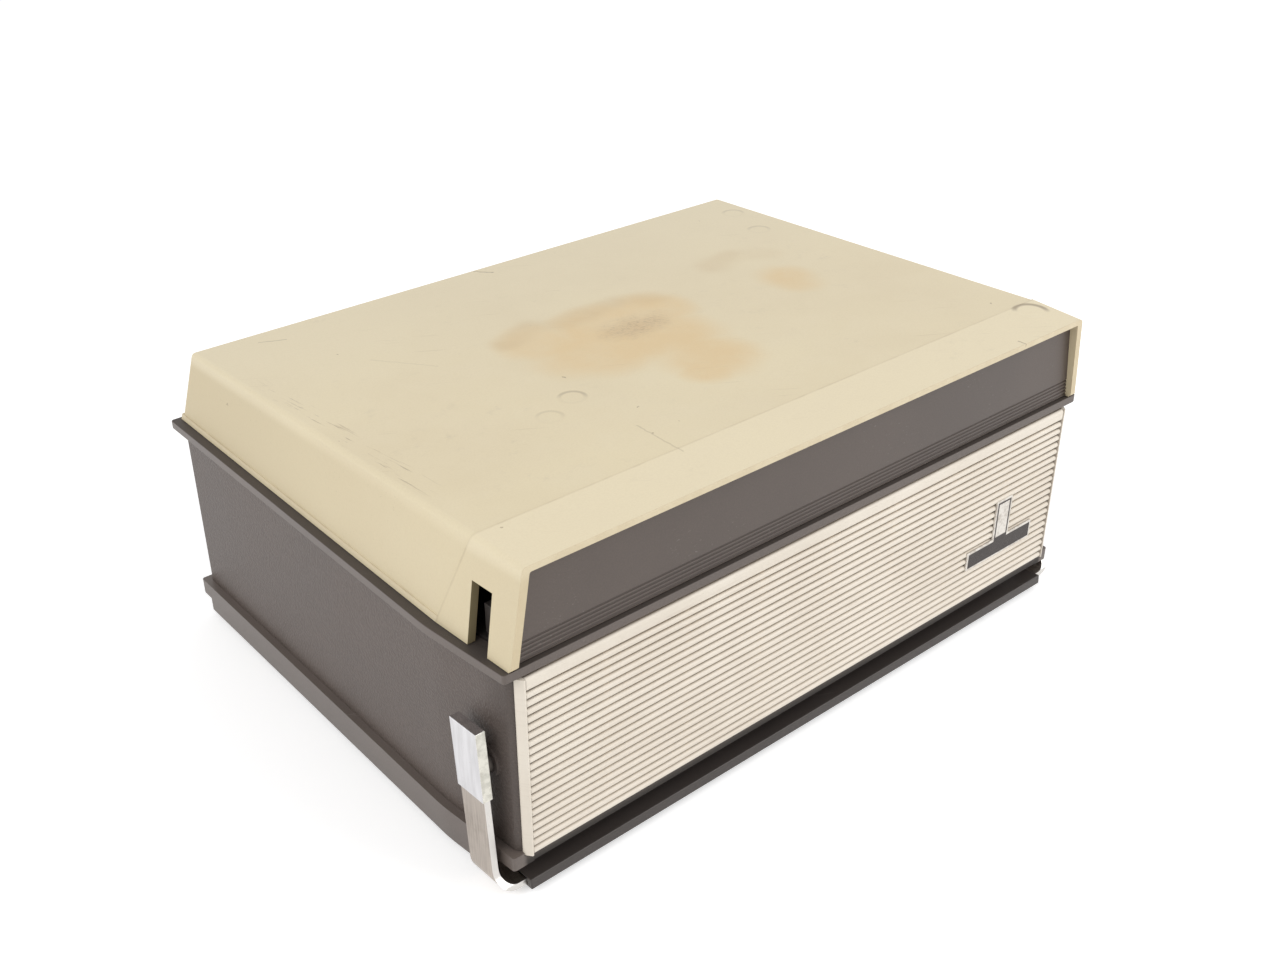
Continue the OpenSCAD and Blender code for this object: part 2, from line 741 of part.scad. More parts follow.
head_w = 12;
head_d = 10;
head_y = capstan_y + capstan_r + 1;
table_z = deck_z + 1.1;
table_t = 3.4;
flange_t = 1.2;
tape_gap = 0.3;
reel_z = table_z + table_t;
tape_z = reel_z + flange_t + tape_gap;

// One tape head on its foot, with its rounded face towards the front
module head(x) {
    translate([x, head_y, deck_z]) {
        translate([0, head_d / 2, 0]) round_box([head_w, head_d, 3], 1);
        block([-head_w / 2, 2, 0], [head_w / 2, head_d, tape_z + tape_w - deck_z + 2]);
        intersection() {
            translate([0, head_w * 0.75, 0]) cylinder(r = head_w * 0.75, h = tape_z + tape_w - deck_z + 2);
            block([-head_w / 2, 0, 0], [head_w / 2, 3, far]);
        }
    }
}

// Record and playback head
module record_head() {
    color(chrome) head(pinch_x - 26);
}

// Erase head
module erase_head() {
    color(steel) head(pinch_x - 46);
}

// Guide posts beside the heads
module tape_guides() {
    color(chrome) for (x = [pinch_x - 62, pinch_x - 36]) translate([x, head_y + 2, deck_z]) {
        cylinder(r = 2, h = tape_z + tape_w - deck_z + 3);
        for (z = [tape_z - deck_z - 1.5, tape_z - deck_z + tape_w + 0.3])
            translate([0, 0, z]) cylinder(r = 3.2, h = 1.2);
    }
}

fly_top = chassis_z - 6;
fly_bottom = fly_top - fly_t;
thrust_z = fly_bottom - 8;
bearing_r = capstan_r + 3.5;
bearing_up = chassis_drop - chassis_t - 3;
bush_wall = 3;
bush_r = axle_r + bush_wall;
bush_down = 6;
bush_up = 4;
thrust_x = fly_r + belt_t + 8;
motor_top = fly_bottom - 4;
stud_foot = 4;

// Chassis: plate hung from the deck plate on four posts, with the capstan's thrust strap and the pinch stud
module chassis() {
    top = chassis_z + chassis_t;
    color(steel) {
        difference() {
            translate([0, (post_ys[0] + post_ys[1]) / 2, chassis_z])
                round_box([2 * post_x + 20, post_ys[1] - post_ys[0] + 20, chassis_t], 6);
            at_reels() cylinder(r = bush_r + fit_gap, h = rim_z);
            translate([pinch_x, capstan_y, 0]) cylinder(r = bearing_r + fit_gap, h = rim_z);
        }
        for (x = [-post_x, post_x], y = post_ys) translate([x, y, top - chassis_t / 2])
            cylinder(r = 4, h = deck_under - top + chassis_t / 2);
        for (dy = [-thrust_x, thrust_x]) translate([pinch_x, capstan_y + dy, thrust_z])
            cylinder(r = 3, h = top - thrust_z);
        translate([pinch_x, capstan_y, thrust_z - 3]) round_box([10, 2 * thrust_x + 10, 3.01], 3);
        translate([stud_x, roller_y, chassis_z]) cylinder(r = stud_r, h = ctrl_z + 6 - chassis_z);
    }
}

// Motor can, hung under the chassis on three studs
module motor() {
    color(steel) translate([motor_x, capstan_y, 0]) {
        difference() {
            translate([0, 0, motor_top - motor_h]) cylinder(r = motor_r, h = motor_h);
            translate([0, 0, motor_top - motor_h / 3]) cylinder(r = 2 + run_gap, h = motor_h);
        }
        for (a = [120, 180, 240]) rotate([0, 0, a]) translate([motor_r - stud_foot, 0, motor_top - 1])
            cylinder(r = stud_foot / 2, h = chassis_z - motor_top + 1);
    }
}

belt_z = (fly_top + fly_bottom - belt_w) / 2;
belt_gap = 0.3;

// Closed line that runs d outside both pulleys: round the flywheel, then round the motor pulley
function belt_line(d, n = 36) = let (s = acos((fly_r - pulley_r) / drive_span), wrap = 180 - s)
    concat([for (i = [0:n]) (fly_r + d) * [cos(wrap * (2 * i / n - 1)), sin(wrap * (2 * i / n - 1))]],
        [for (i = [0:n]) let (t = wrap + 2 * s * i / n) [-drive_span, 0] + (pulley_r + d) * [cos(t), sin(t)]]);

// Flat drive belt from the motor pulley round the flywheel
module drive_belt() {
    color(black) translate([pinch_x, capstan_y, belt_z]) linear_extrude(belt_w) difference() {
        polygon(belt_line(belt_gap + belt_t));
        polygon(belt_line(belt_gap));
    }
}

// Capstan bearing, a sleeve through the chassis
module capstan_bearing() {
    color([0.72, 0.58, 0.3]) translate([pinch_x, capstan_y, chassis_z - 3]) difference() {
        union() {
            cylinder(r = bearing_r, h = bearing_up + chassis_t + 3);
            cylinder(r = bearing_r + 3, h = 3 - fit_gap);
        }
        translate([0, 0, -1]) cylinder(r = capstan_r + run_gap, h = far);
    }
}

// Bushes of the two turntables
module turntable_bushes() {
    color([0.72, 0.58, 0.3]) at_reels() translate([0, 0, chassis_z - bush_down]) difference() {
        union() {
            cylinder(r = bush_r, h = bush_down + chassis_t + bush_up);
            cylinder(r = bush_r + bush_wall, h = bush_down - fit_gap);
        }
        translate([0, 0, -1]) cylinder(r = axle_r + run_gap, h = far);
    }
}

core_side = 72;
core_back = 20;
core_foot = 2;
core_x = -case_w / 2 + core_side;
core_y = rear_y - case_wall - core_back - core_w / 2;

// Mains transformer standing on the tray's floor: core with a coil former
module transformer() {
    color(steel) translate([core_x, core_y, tray_floor]) {
        block([-core_w / 2, -core_w / 5, 0], [core_w / 2, core_w / 5, core_w]);
        block([-core_w / 3, -core_w * 0.4, core_w / 6], [core_w / 3, core_w * 0.4, core_w * 5 / 6]);
        block([-core_w * 0.7, -core_w / 5, 0], [core_w * 0.7, core_w / 5, core_foot]);
    }
}

board_x = 70;
board_y = 66;
board_rise = 10;
spacer_r = 4;
board_z = tray_floor + board_rise;
board_w = 150;
board_d = 96;
board_t = 1.6;
can_r = 6;
can_h = 20;

// Amplifier board on four spacers
module amplifier_board() {
    color([0.5, 0.36, 0.18]) {
        translate([board_x, board_y, board_z]) round_box([board_w, board_d, board_t], 1);
        for (x = [-1, 1], y = [-1, 1])
            translate([board_x + x * (board_w / 2 - 2 * spacer_r),
                board_y + y * (board_d / 2 - 2 * spacer_r), tray_floor])
                cylinder(r = spacer_r, h = board_rise + board_t / 2);
    }
}

// Capacitors standing on the amplifier board
module capacitors() {
    color([0.3, 0.38, 0.5]) for (i = [-2:2])
        translate([board_x + i * board_w / 6, board_y + (i % 2 == 0 ? -1 : 1) * board_d / 5,
            board_z + board_t])
            cylinder(r = can_r * (1 + abs(i) / 6), h = can_h * (1 + abs(i) / 5));
}

// Rod that the keys turn on
module key_rod() {
    len = key_row + 2 * key_gap + lug_t;
    color(steel) rod_x([-len / 2, rod_y0, rod_z], rod_r, len);
}

// Level meter case, open above, with its dial floor
module meter_case() {
    t = meter_wall;
    color(pale) translate([meter_x, knob_y, deck_z]) difference() {
        round_box([meter_w, meter_d, meter_h], 1.25 * t);
        translate([0, 0, t]) round_box([meter_w - 2 * t, meter_d - 2 * t, meter_h], 0.6 * t);
    }
}

// Clear window of the level meter
module meter_window() {
    w = meter_wall + fit_gap;
    t = 0.9 * meter_wall;
    color([0.8, 0.85, 0.88]) translate([meter_x, knob_y, deck_z + meter_h - t])
        round_box([meter_w - 2 * w, meter_d - 2 * w, t], 0.6 * meter_wall);
}

wheel_z = deck_z + counter_h - wheel_r - 0.6;

// Counter case with a reading slot above and a bore for the reset button
module counter_case() {
    t = 2;
    color(black) translate([counter_x, knob_y, 0]) difference() {
        translate([0, 0, deck_z]) round_box([counter_w, counter_d, counter_h], 2);
        block([-counter_w / 2 + t, -wheel_r - 0.5, wheel_z - wheel_r - 0.5],
            [counter_w / 2 - button_room, wheel_r + 0.5, wheel_z + wheel_r + 0.5]);
        block([-counter_w / 2 + t, -2.6, wheel_z], [counter_w / 2 - button_room, 2.6, far]);
        rod_x([-counter_w / 2 + t / 2, 0, wheel_z], 1 + run_gap, counter_w - button_room);
        translate([counter_w / 2 - button_room / 2, 0, deck_z + 3]) cylinder(r = button_r + run_gap, h = far);
    }
}

button_r = 2.2;
button_room = 8;
button_up = 4;
button_travel = 2.5;

// Counter reset button
module counter_button() {
    color(pale)
        translate([counter_x + counter_w / 2 - button_room / 2, knob_y, deck_z + 3 + button_travel + 0.5])
        cylinder(r = button_r, h = counter_h - 3 - button_travel - 0.5 + button_up);
}

// Counter wheels on their axle
module counter_wheels() {
    room = counter_w - 2 - button_room;
    x0 = counter_x - counter_w / 2 + 2;
    count = 3;
    w = (room - 1) / count;
    color(pale) {
        for (i = [0:count - 1]) rod_x([x0 + 0.5 + i * w, knob_y, wheel_z], wheel_r, w - 0.6);
        rod_x([x0 - 0.8, knob_y, wheel_z], 1, room + 1.4);
    }
}

// Pivot pins of the handle, pressed into the case bosses, with a spacing collar
module handle_pins() {
    color(steel) both_sides() {
        rod_x([pad_x - pivot_boss, pivot_y, pivot_z], pin_r, strap_out - pad_x + pivot_boss - fit_gap);
        rod_x([pad_x, pivot_y, pivot_z], 2 * pin_r, cap_in - pad_x - free_gap);
    }
}

// Pins of the two lid catches
module catch_pins() {
    len = 2 * catch_lug + 4;
    color(steel) both_sides() rod_y([catch_x, catch_y - len / 2, catch_z], catch_pin_r, len);
}

lid_z = rim_z + lid_gap;
lid_hw = case_w / 2 + rim_out - lid_margin;
lid_rear = rear_y + rim_out_y - lid_margin_y;
hood_y = front_y - hood_out;
crest_y = hood_y + crest_back;
cheek_foot = hood_y + cheek_back;
cheek_along = [-cheek_in, -cheek_len, 0];
cheek_up = [-lid_lean, crest_y - cheek_foot - cheek_len, lid_crest_h];
cheek_n = unit(cross(cheek_up, cheek_along));

// Half space behind the plane through point p with outward normal n
module behind(p, n) {
    translate(p) rotate([0, -asin(n.z), atan2(n.y, n.x)]) translate([-2 * far, -far, -far]) cube(2 * far);
}

// Outer form of the lid, or with t above 0 the form t inside it, open below and in front
module lid_form(t) {
    out = t > 0 ? crest_back : 0;
    fall = (lid_crest_h - lid_front_h) / crest_back;
    drop = t > 0 ? lid_gap : 0;
    intersection() {
        translate([-far, 0, lid_z]) rotate([90, 0, 90]) linear_extrude(2 * far)
            polygon(outline([[lid_rear - t, -drop, 0], [lid_rear - lid_rear_lean - t, lid_rear_h - t, 4],
                [crest_y, lid_crest_h - t, 0], [hood_y - out, lid_front_h - t - out * fall, 0],
                [cheek_foot - out, -drop, 0]]));
        translate([0, far, lid_z]) rotate([90, 0, 0]) linear_extrude(2 * far)
            polygon([[lid_hw - t, 0], [lid_hw - t, -drop], [t - lid_hw, -drop], [t - lid_hw, 0],
                [t - lid_hw + 2 * lid_lean, 2 * lid_crest_h], [lid_hw - t - 2 * lid_lean, 2 * lid_crest_h]]);
        for (s = [-1, 1])
            behind([s * (lid_hw - t), cheek_foot + cheek_len, lid_z], [s * cheek_n.x, cheek_n.y, cheek_n.z]);
    }
}

// Lid shell: sloped top with a front hood, leaning sides and a catch slot in each cheek
module lid_shell() {
    color(cream) difference() {
        lid_form(0);
        lid_form(lid_wall);
        block([-far, catch_y - slot_w / 2, 0], [far, catch_y + slot_w / 2, lid_z + slot_h]);
    }
}

// Dark front panel of the lid, with fine grooves along its foot
module lid_panel() {
    y0 = hood_y + panel_back;
    color(grey_brown) difference() {
        intersection() {
            lid_form(lid_wall + fit_gap);
            block([-far, y0, lid_z + lid_gap], [far, y0 + panel_t, far]);
        }
        for (i = [0:grooves - 1])
            translate([-far, y0, lid_z + lid_gap + (i + 0.6) * groove_pitch]) rotate([0, 90, 0])
            cylinder(r = groove_pitch * 0.28, h = 2 * far);
    }
}

// Frame of the handle at rest: origin on the pivot line, arms along -z
module at_handle() {
    translate([0, pivot_y, pivot_z]) rotate([-arm_lean, 0, 0]) children();
}

// How much further forward the cross bar reaches than the arms, short of the grip's front wall
flare = max(grip_front - strap_w / 2 - 3.4, 0.1);

// Bent form of the strap: a U seen from the front, with a cross bar that widens forward in the bends
module strap_form() {
    in_r = strap_r - strap_t;
    foot = -arm_len - strap_t / 2;
    half_w = strap_w / 2;
    intersection() {
        rotate([90, 0, 0]) translate([0, 0, -half_w]) linear_extrude(strap_w + flare)
            polygon(outline([[strap_out, arm_top, 0], [strap_out, foot, strap_r], [-strap_out, foot, strap_r],
                [-strap_out, arm_top, 0], [-strap_in, arm_top, 0], [-strap_in, foot + strap_t, in_r],
                [strap_in, foot + strap_t, in_r], [strap_in, arm_top, 0]], 10));
        rotate([90, 0, 90]) translate([0, 0, -far]) linear_extrude(2 * far)
            polygon(outline([[half_w, arm_top + strap_t, 0], [half_w, foot - strap_t, 0],
                [-half_w - flare, foot - strap_t, 0], [-half_w - flare, foot + strap_t, strap_t],
                [-half_w, foot + strap_r, strap_r], [-half_w, arm_top + strap_t, 0]], 10));
    }
}

// Steel strap of the handle
module handle_strap() {
    color(steel) at_handle() difference() {
        strap_form();
        rod_x([-far, 0, 0], pin_r + run_gap, 2 * far);
    }
}

// Dark grip round the strap's cross bar
module handle_grip() {
    color(black) at_handle() difference() {
        block([-grip_w / 2, -grip_front, -arm_len - grip_t / 2],
            [grip_w / 2, grip_rear, -arm_len + grip_t / 2]);
        block([-far, -strap_w / 2 - flare - fit_gap, -arm_len - strap_t / 2 - fit_gap],
            [far, strap_w / 2 + fit_gap, -arm_len + strap_t / 2 + fit_gap]);
    }
}

// Chrome caps over the upper ends of the strap
module handle_caps() {
    w = strap_w / 2 + cap_wall;
    g = fit_gap;
    color(chrome) at_handle() both_sides() difference() {
        block([cap_in, -w, -cap_down], [strap_out + cap_wall, w, arm_top + cap_wall]);
        block([strap_in - g, -strap_w / 2 - g, -far], [strap_out + g, strap_w / 2 + g, arm_top + g]);
        rod_x([0, 0, 0], pin_r + free_gap, strap_out);
    }
}

catch_top = slot_h - 11;

// Lid catch: a lever on its pin, with a finger button in the lid's slot
module catch_form() {
    hub = 2.5;
    reach = lid_hw - lid_lean * catch_top / lid_crest_h - lid_wall - catch_x - 3;
    translate([catch_x, catch_y, 0]) difference() {
        union() {
            rod_y([0, -catch_w / 2, catch_z], hub, catch_w);
            block([-hub, -catch_w / 2, catch_z], [hub - 1, catch_w / 2, lid_z + catch_top]);
            block([-hub, -catch_w / 2 + 1, lid_z + catch_top - 14],
                [reach, catch_w / 2 - 1, lid_z + catch_top]);
        }
        rod_y([0, -far, catch_z], catch_pin_r + run_gap, 2 * far);
    }
}

// Right lid catch
module catch_right() {
    color(black) catch_form();
}

// Left lid catch
module catch_left() {
    color(black) mirror([1, 0, 0]) catch_form();
}

// Reel: two flanges with three round windows each, on a hub
module reel() {
    window_r = (reel_r - hub_r) * 0.33;
    high = 2 * flange_t + tape_w + 2 * tape_gap;
    difference() {
        union() {
            for (z = [0, high - flange_t]) translate([0, 0, z]) difference() {
                cylinder(r = reel_r, h = flange_t);
                for (a = [0:120:240]) rotate([0, 0, a]) translate([(hub_r + reel_r) / 2, 0, -1])
                    cylinder(r = window_r, h = 2 * flange_t + 2);
            }
            cylinder(r = hub_r, h = high);
        }
        translate([0, 0, -1]) cylinder(r = spindle_r + fit_gap, h = far);
    }
}

// Supply reel
module supply_reel() {
    color(pale) translate([-reel_x, reel_y, reel_z]) reel();
}

// Take-up reel
module takeup_reel() {
    color(pale) translate([reel_x, reel_y, reel_z]) reel();
}

// Tape wound on the supply reel
module tape_pack() {
    color(brown) translate([-reel_x, reel_y, tape_z]) difference() {
        cylinder(r = tape_r, h = tape_w);
        translate([0, 0, -1]) cylinder(r = hub_r + fit_gap, h = far);
    }
}

// Turntable: disc, spindle, axle and shoulder
module turntable() {
    foot = chassis_z - 6;
    shoulder = chassis_z + chassis_t + 4 + belt_gap;
    high = reel_z + 2 * flange_t + tape_w + 2 * tape_gap + 6;
    translate([0, 0, table_z]) cylinder(r = table_r, h = table_t);
    translate([0, 0, foot]) cylinder(r = axle_r, h = table_z + 1 - foot);
    translate([0, 0, shoulder]) cylinder(r = axle_r + 2, h = 3);
    translate([0, 0, table_z]) cylinder(r = spindle_r, h = high - table_z);
}

// Supply turntable
module supply_turntable() {
    color(black) translate([-reel_x, reel_y, 0]) turntable();
}

// Take-up turntable
module takeup_turntable() {
    color(black) translate([reel_x, reel_y, 0]) turntable();
}

// Flywheel with the capstan through it
module flywheel() {
    color(steel) translate([pinch_x, capstan_y, 0]) {
        translate([0, 0, fly_bottom]) difference() {
            cylinder(r = fly_r, h = fly_t);
            translate([0, 0, fly_t / 2]) difference() {
                cylinder(r = fly_r - 6, h = fly_t);
                cylinder(r = 10, h = fly_t);
            }
        }
        translate([0, 0, thrust_z + 0.3]) cylinder(r = capstan_r, h = tape_z + tape_w + 4 - thrust_z);
    }
}

// Motor pulley on its shaft
module motor_pulley() {
    color(steel) translate([motor_x, capstan_y, 0]) {
        translate([0, 0, belt_z - 1]) cylinder(r = pulley_r, h = belt_w + 2);
        translate([0, 0, motor_top - motor_h / 3 + 0.5]) cylinder(r = 2, h = belt_z - motor_top + motor_h / 3);
    }
}

arm_z = deck_z + 1;
arm_t = 2.5;
roller_pin = 1.5;
roller_z = arm_z + arm_t + 0.4;
roller_h = tape_z + tape_w + 1 - roller_z;

// Pinch arm on the chassis stud, carrying the roller's pin
module pinch_arm() {
    color(steel) difference() {
        union() {
            translate([stud_x, roller_y, arm_z]) cylinder(r = stud_r + 3, h = arm_t);
            translate([pinch_x, roller_y, arm_z]) cylinder(r = roller_pin + 2.5, h = arm_t);
            block([pinch_x, roller_y - 3, arm_z], [stud_x, roller_y + 3, arm_z + arm_t]);
            translate([pinch_x, roller_y, arm_z])
                cylinder(r = roller_pin, h = roller_z + roller_h + 1.5 - arm_z);
        }
        translate([stud_x, roller_y, 0]) cylinder(r = stud_r + run_gap, h = far);
    }
}

// Rubber pinch roller
module pinch_roller() {
    color(rubber) translate([pinch_x, roller_y, roller_z]) difference() {
        cylinder(r = roller_r, h = roller_h);
        translate([0, 0, -1]) cylinder(r = roller_pin + run_gap, h = far);
    }
}

// One piano key: a hollow cap on a hub that turns on the rod
module key(i) {
    x = (i - (keys - 1) / 2) * key_pitch;
    translate([x - key_w / 2, rod_y0, rod_z]) difference() {
        union() {
            block([0, -key_len, -key_t / 2 + 1], [key_w, 0, key_t / 2 + 1]);
            rod_x([0, 0, 0], 1.9 * rod_r, key_w);
        }
        block([2, -key_len + 2, -key_t], [key_w - 2, -2.4 * rod_r, key_t / 2 - 1]);
        rod_x([-1, 0, 0], rod_r + run_gap, key_w + 2);
    }
}

// Record key
module key_record() {
    color([0.6, 0.16, 0.12]) key(0);
}

// Rewind key
module key_rewind() {
    color(pale) key(1);
}

// Stop key
module key_stop() {
    color(pale) key(2);
}

// Start key
module key_start() {
    color(pale) key(3);
}

// Fast-forward key
module key_forward() {
    color(pale) key(4);
}

// Knob with a finger groove ring, on a shaft through the panel and the deck plate
module knob(x) {
    ridges = 18;
    z0 = ctrl_z + free_gap;
    translate([x, knob_y, 0]) {
        difference() {
            translate([0, 0, z0]) cylinder(r = knob_r, h = knob_h);
            for (i = [0:ridges - 1]) rotate([0, 0, i * 360 / ridges])
                translate([knob_r * 1.04, 0, z0 + knob_h / 6])
                cylinder(r = knob_r * 0.09, h = knob_h);
            translate([-knob_r * 0.04, knob_r * 0.35, z0 + knob_h * 0.93])
                cube([knob_r * 0.08, knob_r * 0.5, knob_h]);
        }
        translate([0, 0, deck_under - shaft_r])
            cylinder(r = shaft_r, h = z0 + knob_h / 2 - deck_under + shaft_r);
    }
}

// Volume knob
module volume_knob() {
    color(black) knob(knob_xs[0]);
}

// Tone knob
module tone_knob() {
    color(black) knob(knob_xs[1]);
}

needle_len = meter_d * 0.62;
needle_z = deck_z + 3;

// Meter needle on its pivot, lying at the left end of the scale
module meter_needle() {
    color(black) translate([meter_x, knob_y - meter_d * 2 / 7, needle_z]) {
        cylinder(r = 2.4, h = 2);
        rotate([0, 0, 35]) translate([-0.4, 0, 0.4]) cube([0.8, needle_len, 0.8]);
    }
}

base_tray();
feet();
rear_buffers();
base_screws();
case_shell();
speaker_grille();
name_plate();
baffle_board();
speaker_basket();
speaker_cone();
speaker_magnet();
socket_panel();
mains_inlet();
deck_rim();
deck_plate();
control_panel();
head_cover();
record_head();
erase_head();
tape_guides();
chassis();
motor();
drive_belt();
capstan_bearing();
turntable_bushes();
transformer();
amplifier_board();
capacitors();
key_rod();
meter_case();
meter_window();
counter_case();
handle_pins();
catch_pins();
lid_shell();
lid_panel();
handle_strap();
handle_grip();
handle_caps();
catch_left();
catch_right();
supply_reel();
tape_pack();
supply_turntable();
takeup_reel();
takeup_turntable();
flywheel();
motor_pulley();
pinch_arm();
pinch_roller();
key_record();
key_rewind();
key_stop();
key_start();
key_forward();
volume_knob();
tone_knob();
meter_needle();
counter_wheels();
counter_button();
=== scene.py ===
import functools
import math

import bmesh
import bpy
from mathutils import Matrix, Vector


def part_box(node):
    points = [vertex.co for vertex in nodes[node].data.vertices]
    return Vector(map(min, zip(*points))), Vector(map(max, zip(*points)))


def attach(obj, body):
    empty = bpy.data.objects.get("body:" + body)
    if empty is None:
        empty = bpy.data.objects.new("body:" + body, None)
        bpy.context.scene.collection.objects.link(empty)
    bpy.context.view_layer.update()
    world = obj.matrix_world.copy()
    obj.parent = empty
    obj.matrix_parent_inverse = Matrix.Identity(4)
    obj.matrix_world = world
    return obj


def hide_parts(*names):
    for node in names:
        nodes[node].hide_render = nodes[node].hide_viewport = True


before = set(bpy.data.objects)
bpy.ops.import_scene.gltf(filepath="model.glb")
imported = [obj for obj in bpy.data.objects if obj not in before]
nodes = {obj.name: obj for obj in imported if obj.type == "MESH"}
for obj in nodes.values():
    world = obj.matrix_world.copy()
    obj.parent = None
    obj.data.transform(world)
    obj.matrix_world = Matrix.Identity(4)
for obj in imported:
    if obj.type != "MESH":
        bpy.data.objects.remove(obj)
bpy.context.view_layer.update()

# The camera stands before the left front corner, a little above the lid.
# Its place and lens come from the straight edges of the case in the photograph.
lens_px, frame_px, sensor_mm = 1428.07, 1280, 36
eye = (-0.434665, -0.512603, 0.463883)
round_by, down_by = math.radians(-40.555), math.radians(29.973)
level = math.cos(down_by)
back = Vector((math.sin(round_by) * level, -math.cos(round_by) * level, math.sin(down_by)))
camera = bpy.data.objects.new("camera", bpy.data.cameras.new("camera"))
camera.data.sensor_width = sensor_mm
camera.data.lens = sensor_mm * lens_px / frame_px
camera.location = eye
camera.rotation_euler = (-back).to_track_quat("-Z", "Y").to_euler()
bpy.context.scene.collection.objects.link(camera)
bpy.context.scene.camera = camera


# The base tray is a shallow brown moulding that the case stands in.
# Four long screws come up through it, each hidden in the middle of a rubber foot,
# and four rubber buffers on the rear wall let the machine stand on end.
class Field:
    """A value on a finish's surface. Sums and products of fields add Math nodes."""

    def __init__(self, tree, socket=None):
        self.tree = tree
        self.socket = socket

    def node(self, kind, settings=None, sockets=None, out=0):
        """Adds a node of any kind: its settings first, then values or links for its sockets."""
        made = self.tree.nodes.new("ShaderNode" + kind)
        for name, value in (settings or {}).items():
            setattr(made, name, value)
        for name, value in (sockets or {}).items():
            if isinstance(value, Field):
                self.tree.links.new(value.socket, made.inputs[name])
            else:
                made.inputs[name].default_value = value
        return Field(self.tree, made.outputs[out] if made.outputs else None)

    def math(self, operation, *terms):
        return self.node("Math", {"operation": operation}, dict(enumerate(terms)))

    def vector(self, operation, *terms, out=0):
        return self.node("VectorMath", {"operation": operation}, dict(enumerate(terms)), out)

    def __add__(self, other):
        return self.math("ADD", self, other)

    def __sub__(self, other):
        return self.math("SUBTRACT", self, other)

    def __rsub__(self, other):
        return self.math("SUBTRACT", other, self)

    def __mul__(self, other):
        return self.math("MULTIPLY", self, other)

    def __truediv__(self, other):
        return self.math("DIVIDE", self, other)

    __radd__, __rmul__ = __add__, __mul__

    def size(self):
        return self.math("ABSOLUTE", self)

    def root(self):
        return self.math("SQRT", self)

    def part(self):
        """What is left over a whole number."""
        return self.math("FRACT", self)

    def spaced(self, step):
        """How far this value is from the nearest whole number of steps."""
        return ((self / step + 0.5).part() - 0.5) * step

    def angle(self, other):
        """The angle of a place at these two distances, 0 straight along the other one."""
        return self.math("ARCTAN2", self, other)

    def least(self, other):
        return self.math("MINIMUM", self, other)

    def most(self, other):
        return self.math("MAXIMUM", self, other)

    def ramp(self, low, high):
        """0 at low, 1 at high, with a soft start and end."""
        return self.node("MapRange", {"interpolation_type": "SMOOTHSTEP"},
                         {"Value": self, "From Min": low, "From Max": high})

    def mix(self, first, second):
        """The first colour where this field is 0, the second where it is 1."""
        return self.node("Mix", {"data_type": "RGBA"}, {0: self, 6: first, 7: second}, 2)

    def axis(self, number):
        return self.node("SeparateXYZ", None, {0: self}, number)

    def axes(self):
        return self.axis(0), self.axis(1), self.axis(2)

    def stretch(self, x, y, z):
        return self.vector("MULTIPLY", self, (x, y, z))

    def turn(self, degrees):
        """This place turned about the upright axis."""
        angle = math.radians(degrees)
        return self.node("VectorRotate", None, {"Vector": self, "Axis": (0, 0, 1), "Angle": angle})

    def noise(self, scale, detail=2.0, rough=0.5, out=0):
        sockets = {"Vector": self, "Scale": scale, "Detail": detail, "Roughness": rough}
        return self.node("TexNoise", None, sockets, out)

    def cells(self, scale, feature="SMOOTH_F1"):
        return self.node("TexVoronoi", {"feature": feature}, {"Vector": self, "Scale": scale})

    def warp(self, scale, by):
        """This place pushed about by up to half of by metres."""
        push = self.vector("SUBTRACT", self.noise(scale, 3.0, 0.5, 1), (0.5, 0.5, 0.5))
        return self.vector("ADD", self, push.stretch(by, by, by))


def paint(red, green, blue):
    """A colour as a photograph shows it, 0 to 255, in the renderer's light values."""
    return tuple(((c / 255 + 0.055) / 1.055) ** 2.4 for c in (red, green, blue)) + (1.0,)


def finish(name):
    """A new finish, and the field of places on the piece in metres."""
    made = bpy.data.materials.new(name)
    made.use_nodes = True
    return made, Field(made.node_tree).node("TexCoord", out="Object")


def dress(made, sockets, relief=None, depth=0.0001):
    """Sets a finish's surface from fields or constants, with a relief as deep as depth metres."""
    surface = made.node_tree.nodes["Principled BSDF"]
    if relief:
        sockets["Normal"] = relief.node("Bump", None, {"Height": relief, "Distance": depth})
    for name, value in sockets.items():
        if isinstance(value, Field):
            made.node_tree.links.new(value.socket, surface.inputs[name])
        else:
            surface.inputs[name].default_value = value
    return made


def tint(colour, by):
    return tuple(min(1.0, c * by) for c in colour[:3]) + (1.0,)


